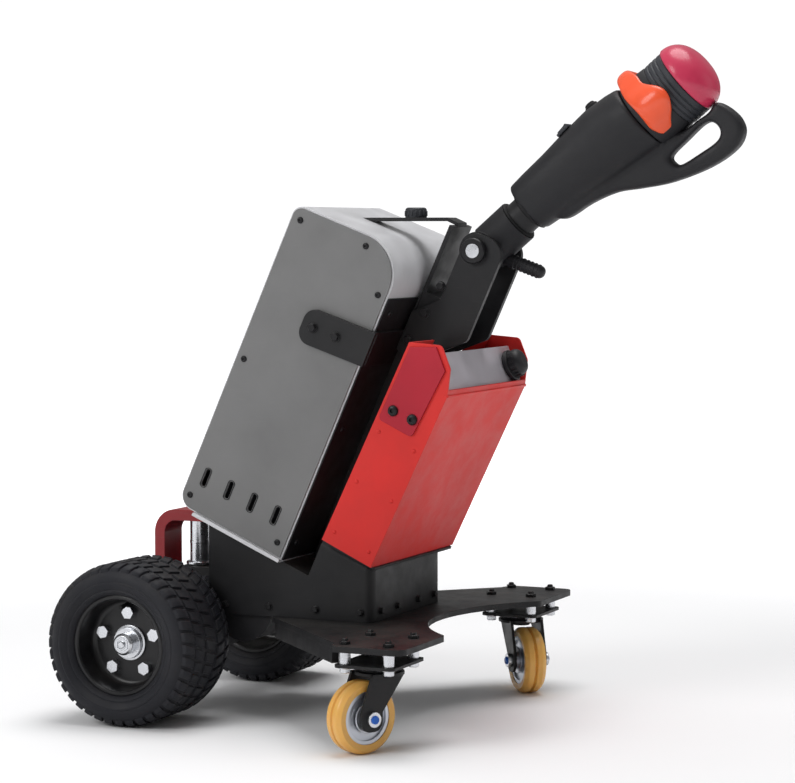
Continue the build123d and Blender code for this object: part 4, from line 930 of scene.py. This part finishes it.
class TugHead(TugOperator):
    """Moulds the tiller's head with its hand loop, throttle wings, collar, dome and buttons"""
    bl_idname = "tug.head"
    bl_label = "Tiller head"
    AXIS_Z = -13

    def make(self, sizes):
        self.shell()
        self.throttle()
        self.collar()
        self.dome()
        self.switches()

    def shell(self):
        """Body and hand loop, blended into one moulding, and the gland where the tube enters."""
        bm = bmesh.new()
        loft(bm, [
            (85, 4, 33, 27, 2.6), (88, 4, 37, 31, 2.6), (112, 3, 39.5, 33.5, 2.5), (150, 1.5, 42, 36.5, 2.4),
            (190, -0.5, 47, 40, 2.3), (235, -3.5, 51.5, 43, 2.3), (268, -7.5, 51.5, 44.5, 2.3),
            (284, -10.5, 51, 45, 2.3), (288, -12, 49, 43, 2.3),
        ])
        loop = [
            (104, -20), (110, -36), (124, -46), (160, -52), (196, -64), (226, -83), (265, -105.5), (317, -124.5),
            (358, -129.5), (380, -121), (388.5, -104), (386.5, -82), (377.5, -64.5), (362, -68), (344, -66), (316, -62),
            (285, -40), (200, -10),
        ]
        slot = [
            (286, -78), (283, -86.5), (289, -96), (318, -101.5), (346, -104.5), (358, -97), (358, -83), (347, -75.5),
            (316, -76),
        ]
        self.rounded_plate(bm, smooth_loop(loop, 5), smooth_loop(slot, 5), 14.0, 7.5)
        rough = placed("head_rough", to_mesh("head_rough", bm))
        remesh = rough.modifiers.new("blend", "REMESH")
        remesh.mode = "VOXEL"
        remesh.voxel_size = 0.0021
        remesh.use_smooth_shade = True
        soften = rough.modifiers.new("soften", "SMOOTH")
        soften.factor = 0.5
        soften.iterations = 7
        shell = evaluated_copy(rough, "head_shell")
        shell.transform(TILLER)
        dress("head_shell", shell, "plastic_black", "tiller", smooth=60, nodes=["tiller_head"])
        gland = [(25.2, 83.2), (29.5, 83.2), (31.0, 84.4), (31.0, 89.0), (25.2, 89.0)]
        add("head_gland", lathe(bmesh.new(), gland, 64, "X"), TILLER, "seam_dark", "tiller")

    def rounded_plate(self, bm, outline, hole, half, edge):
        """A plate in the tiller's middle plane with a hole, its edges rounded."""
        data = bpy.data.curves.new("loop", "CURVE")
        data.dimensions = "2D"
        data.fill_mode = "BOTH"
        data.extrude = (half - edge) / 1000
        data.bevel_depth = edge / 1000
        data.bevel_resolution = 4
        data.offset = -edge / 1000
        for points in (outline, hole):
            spline = data.splines.new("POLY")
            spline.points.add(len(points) - 1)
            for stored, point in zip(spline.points, points):
                stored.co = (point[0] / 1000, point[1] / 1000, 0, 1)
            spline.use_cyclic_u = True
        plate = evaluated_copy(placed("loop", data), "loop")
        plate.transform(Matrix.Scale(1000, 4) @ Matrix.Rotation(pi / 2, 4, "X"))
        bm.from_mesh(plate)
        bpy.data.meshes.remove(plate)

    def throttle(self):
        """Black ring under an orange saddle that ends in a thumb paddle on each side."""
        bm = loft(bmesh.new(), [
            (288.6, -12.8, 47.0, 42.4, 2.1), (290, -12.9, 49.6, 43.7, 2.1), (300, -13, 50.2, 44.2, 2.1),
            (322, -13, 50.2, 44.2, 2.1), (331.5, -13.1, 49.4, 43.6, 2.1), (333, -13.2, 48.4, 43.2, 2.1),
        ], 72)
        add("throttle_ring", bm, TILLER, "plastic_black", "tiller", smooth=40, nodes=["throttle_band"])
        bm = bmesh.new()
        steps, start, sweep = 56, -52, 284
        rings = []
        for index in range(steps + 1):
            share = index / steps
            turn = radians(start + sweep * share)
            flap = 0.5 + 0.5 * cos(min(pi, abs(sin(turn) + 0.1) / 0.75 * pi))
            ridge = max(0.0, sin(turn)) ** 10
            tip = min(1.0, 9 * min(share, 1 - share) + 0.25) ** 0.5
            outward = Vector((0, cos(turn) * 44.6, sin(turn) * 50.8))
            way = outward.normalized()
            middle = 308 + 13 * flap - 5 * ridge
            half = (15.5 + 8.5 * flap) * tip - 4 * ridge
            thick = (3.6 + 12.5 * flap + 13 * ridge) * tip
            centre = outward + way * (thick / 2 - 1.4)
            rings.append([
                Vector((middle + x, 0, self.AXIS_Z)) + centre + way * z
                for x, z in superellipse(half, thick / 2, 2.5, 20)
            ])
        skin(bm, rings, turned=True)
        add("throttle_wings", bm, TILLER, "throttle_orange", "tiller", smooth=50)

    def collar(self):
        """Grooved ring between the throttle and the dome."""
        stations = [(333.2, -13.3, 47.5, 44.5, 2.05), (334.5, -13.4, 49, 46, 2.05)]
        for groove in (340, 347, 354):
            for step, deep in ((-1.6, 0), (0, 1.4), (1.6, 0)):
                stations.append((groove + step, -13.5, 49.6 - deep, 46.6 - deep, 2.05))
        stations += [(361.5, -13.5, 49.4, 46.4, 2.05), (362.8, -13.5, 48, 45, 2.05)]
        add("head_ring", loft(bmesh.new(), stations, 72), TILLER, "plastic_grey", "tiller", smooth=30,
            nodes=["head_collar"])

    def dome(self):
        """Rounded cap with a short straight foot, a little narrower than high."""
        low, high, foot, steps = 363.2, 400.6, 2.2, 14
        profile = [(TIP, low), (49.6, low), (50.4, low + 0.8)]
        for index in range(steps + 1):
            turn = pi / 2 * index / steps
            radius = 51.0 * cos(turn) ** 0.78 if index < steps else TIP
            profile.append((radius, low + foot + (high - low - foot) * sin(turn)))
        bm = lathe(bmesh.new(), profile, 72, "X", closed=False)
        bm.transform(spot((0, 0, self.AXIS_Z)) @ Matrix.Diagonal((1, 0.94, 1, 1)))
        add("head_dome", bm, TILLER, "dome_red", "tiller", smooth=50, nodes=["stop_dome"])

    def switches(self):
        """Two rocker switches and a push button on the head's top."""
        bm = bmesh.new()
        for y in (-14, 14):
            seat = spot((196, y, 46.2), -4)
            prism(bm, [(-11, -3), (11, -3), (11, 1.4), (-11, 1.4)], -8.5, 8.5, place=seat, bevel=1.2, steps=2)
            prism(bm, [(-8, 0), (8, 0), (8, 4.8), (0, 2.6), (-8, 3.4)], -6, 6, place=seat, bevel=0.7, steps=2)
        add("head_switches", bm, TILLER, "plastic_grey", "tiller")
        seat = spot((242, 0, 48.2), -3)
        button = [(TIP, -3), (10, -3), (10, 0.8), (9, 1.8), (7.4, 1.8), (7.4, 4.4), (6.6, 5.2), (TIP, 5.6)]
        add("head_button", lathe(bmesh.new(), button, 32, "Z", closed=False, place=seat), TILLER, "seam_dark",
            "tiller")


class TugTillerTrim(TugOperator):
    """Adds the pivot's caps, the lever's grip, the tube's seal and the ribs of the brace's knob"""
    bl_idname = "tug.tiller_trim"
    bl_label = "Tiller trim"
    LEVER_DROP = 20
    GRIP_RINGS, GRIP_START, GRIP_PITCH = 7, 46, 6.0

    def make(self, sizes):
        pivot = spot((PIVOT.x, 0, PIVOT.z))
        cap = [
            (9.6, 49.9), (15.4, 49.9), (16.5, 48.6), (16.5, 42.2), (17.6, 42.2), (17.6, 49.2), (16.2, 51.0),
            (10.4, 51.0),
        ]
        add("pivot_caps", mirrored_lathe(bmesh.new(), cap, 48), pivot, "screw_black", slot="frame_black")
        bm = bmesh.new()
        lever = Matrix.Rotation(radians(TILLER_RISE + self.LEVER_DROP), 4, "Y")
        for index in range(self.GRIP_RINGS):
            at = self.GRIP_START + index * self.GRIP_PITCH
            lathe(bm, [(8.6, at - 1.6), (9.9, at - 0.9), (9.9, at + 0.9), (8.6, at + 1.6)], 32, "X", place=lever)
        add("lever_grip", bm, TILLER, "plastic_black", "tiller")
        seal = [(24.8, 62.2), (29.0, 62.2), (30.4, 63.4), (29.0, 64.8), (24.8, 65.6)]
        add("tube_seal", lathe(bmesh.new(), seal, 64, "X"), TILLER, "seam_dark", "tiller")
        low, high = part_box("brace_knob")
        bm = ribs(16, [(14.6, -5), (16.0, -5), (16.0, 2), (14.6, 3)], 1.5, 0.5)
        add("knob_ribs", bm, spot((low + high) / 2), "plastic_grey")


class TugStage(TugOperator):
    """Lays the pale floor, hangs the soft lights and sets the camera at the photographed angle"""
    bl_idname = "tug.stage"
    bl_label = "Floor, lights and camera"
    FLOOR_R = 40
    PHOTO_W, FOCAL_PX, SENSOR_W = 795, 2600, 36

    def make(self, sizes):
        scene = bpy.context.scene
        rgb = (*scene.tug_colours.floor, 1)
        self.floor(rgb)
        scene.world = bpy.data.worlds.new("soft_room")
        self.sky(scene.world, rgb)
        self.light("key", (-2.2, -3.8, 2.8), 2.4, 92)
        self.light("top", (0.2, 0.4, 4.2), 3.0, 112)
        self.light("rear", (3.4, 1.2, 1.8), 2.0, 5)
        scene.view_settings.view_transform = "Standard"
        self.camera()

    def floor(self, rgb):
        """A pale disc that glows white in the distance and doesn't show from below."""
        bm = bmesh.new()
        bmesh.ops.create_circle(bm, cap_ends=True, segments=96, radius=self.FLOOR_R)
        mesh = bpy.data.meshes.new("floor")
        bm.to_mesh(mesh)
        bm.free()
        floor = placed("floor", mesh)
        material = bpy.data.materials.new("pale_floor")
        material.use_nodes = True
        tree = material.node_tree
        away = tree.nodes.new("ShaderNodeVectorMath")
        away.operation = "LENGTH"
        feed(tree, away, {0: object_coordinates(tree)})
        far = remap(tree, away.outputs["Value"], 0.9, 3.2)
        under = tree.nodes.new("ShaderNodeNewGeometry").outputs["Backfacing"]
        looks = {
            "Base Color": rgb, "Roughness": 0.9, "Specular IOR Level": 0.1, "Emission Strength": 1.0,
            "Emission Color": mix_colour(tree, far, (0, 0, 0, 1), (0.75, 0.75, 0.76, 1)),
            "Alpha": maths(tree, "SUBTRACT", 1.0, under),
        }
        feed(tree, tree.nodes["Principled BSDF"], looks)
        mesh.materials.append(material)

    def sky(self, world, rgb):
        """White behind the object; as light, bright above and dim from the floor's edge."""
        world.use_nodes = True
        tree = world.node_tree
        shown = tree.nodes["Background"]
        feed(tree, shown, {"Color": rgb, "Strength": 1.14})
        lit, place, split, path, blend = make_nodes(
            tree, "ShaderNodeBackground", "ShaderNodeTexCoord", "ShaderNodeSeparateXYZ", "ShaderNodeLightPath",
            "ShaderNodeMixShader",
        )
        feed(tree, split, {0: place.outputs["Generated"]})
        glow = remap(tree, split.outputs["Z"], -0.2, 0.9, 0.26, 0.8)
        front = remap(tree, split.outputs["X"], -0.8, 0.8, 0.85, 0.5)
        feed(tree, lit, {"Strength": maths(tree, "MULTIPLY", glow, front)})
        feed(tree, blend, {0: path.outputs["Is Camera Ray"], 1: lit.outputs[0], 2: shown.outputs[0]})
        feed(tree, tree.nodes["World Output"], {"Surface": blend.outputs[0]})

    def light(self, name, place, size, power):
        """A round lamp aimed at the object's middle."""
        data = bpy.data.lights.new(name, "AREA")
        data.shape = "DISK"
        data.size = size
        data.energy = power
        lamp = placed(name, data)
        lamp.location = place
        way = Vector((0, 0, 0.4)) - Vector(place)
        lamp.rotation_euler = way.to_track_quat("-Z", "Y").to_euler()

    def camera(self):
        """The photographed view, from the machine's left and rear."""
        azimuth, elevation, distance = radians(24), radians(3.5), 3.641
        aim = Vector((DRIVE_AXLE.x + 0.3027, 0, 0.454))
        back = Vector((sin(azimuth) * cos(elevation), -cos(azimuth) * cos(elevation), sin(elevation)))
        data = bpy.data.cameras.new("camera")
        data.sensor_width = self.SENSOR_W
        data.lens = self.FOCAL_PX / self.PHOTO_W * self.SENSOR_W
        data.clip_start, data.clip_end = 0.05, 200
        data.dof.use_dof = False
        camera = placed("camera", data)
        camera.location = aim + back * distance
        camera.rotation_euler = (-back).to_track_quat("-Z", "Y").to_euler()
        bpy.context.scene.camera = camera


OPERATORS = (
    TugFinishes, TugTyres, TugWheelTrim, TugCastorTrim, TugHousingTrim, TugBatteryTrim, TugFrameTrim, TugHitchTrim,
    TugHead, TugTillerTrim, TugStage,
)


class TugPanel(bpy.types.Panel):
    """Lists the tow tractor's pieces, sizes and colours."""
    bl_idname = "VIEW3D_PT_tug"
    bl_label = "Tow tractor"
    bl_space_type = "VIEW_3D"
    bl_region_type = "UI"
    bl_category = "Tow tractor"

    def draw(self, context):
        for operator in OPERATORS:
            self.layout.operator(operator.bl_idname)
        for group in (context.scene.tug_sizes, context.scene.tug_colours):
            for name in group.bl_rna.properties.keys():
                if name not in ("rna_type", "name"):
                    self.layout.prop(group, name)


CLASSES = (TugColours, TugSizes) + OPERATORS + (TugPanel,)


def register():
    for cls in CLASSES:
        bpy.utils.register_class(cls)
    bpy.types.Scene.tug_colours = PointerProperty(type=TugColours)
    bpy.types.Scene.tug_sizes = PointerProperty(type=TugSizes)


def unregister():
    del bpy.types.Scene.tug_colours
    del bpy.types.Scene.tug_sizes
    for cls in reversed(CLASSES):
        bpy.utils.unregister_class(cls)


def main():
    register()
    for operator in OPERATORS:
        group, name = operator.bl_idname.split(".")
        getattr(getattr(bpy.ops, group), name)()


if __name__ == "__main__":
    main()
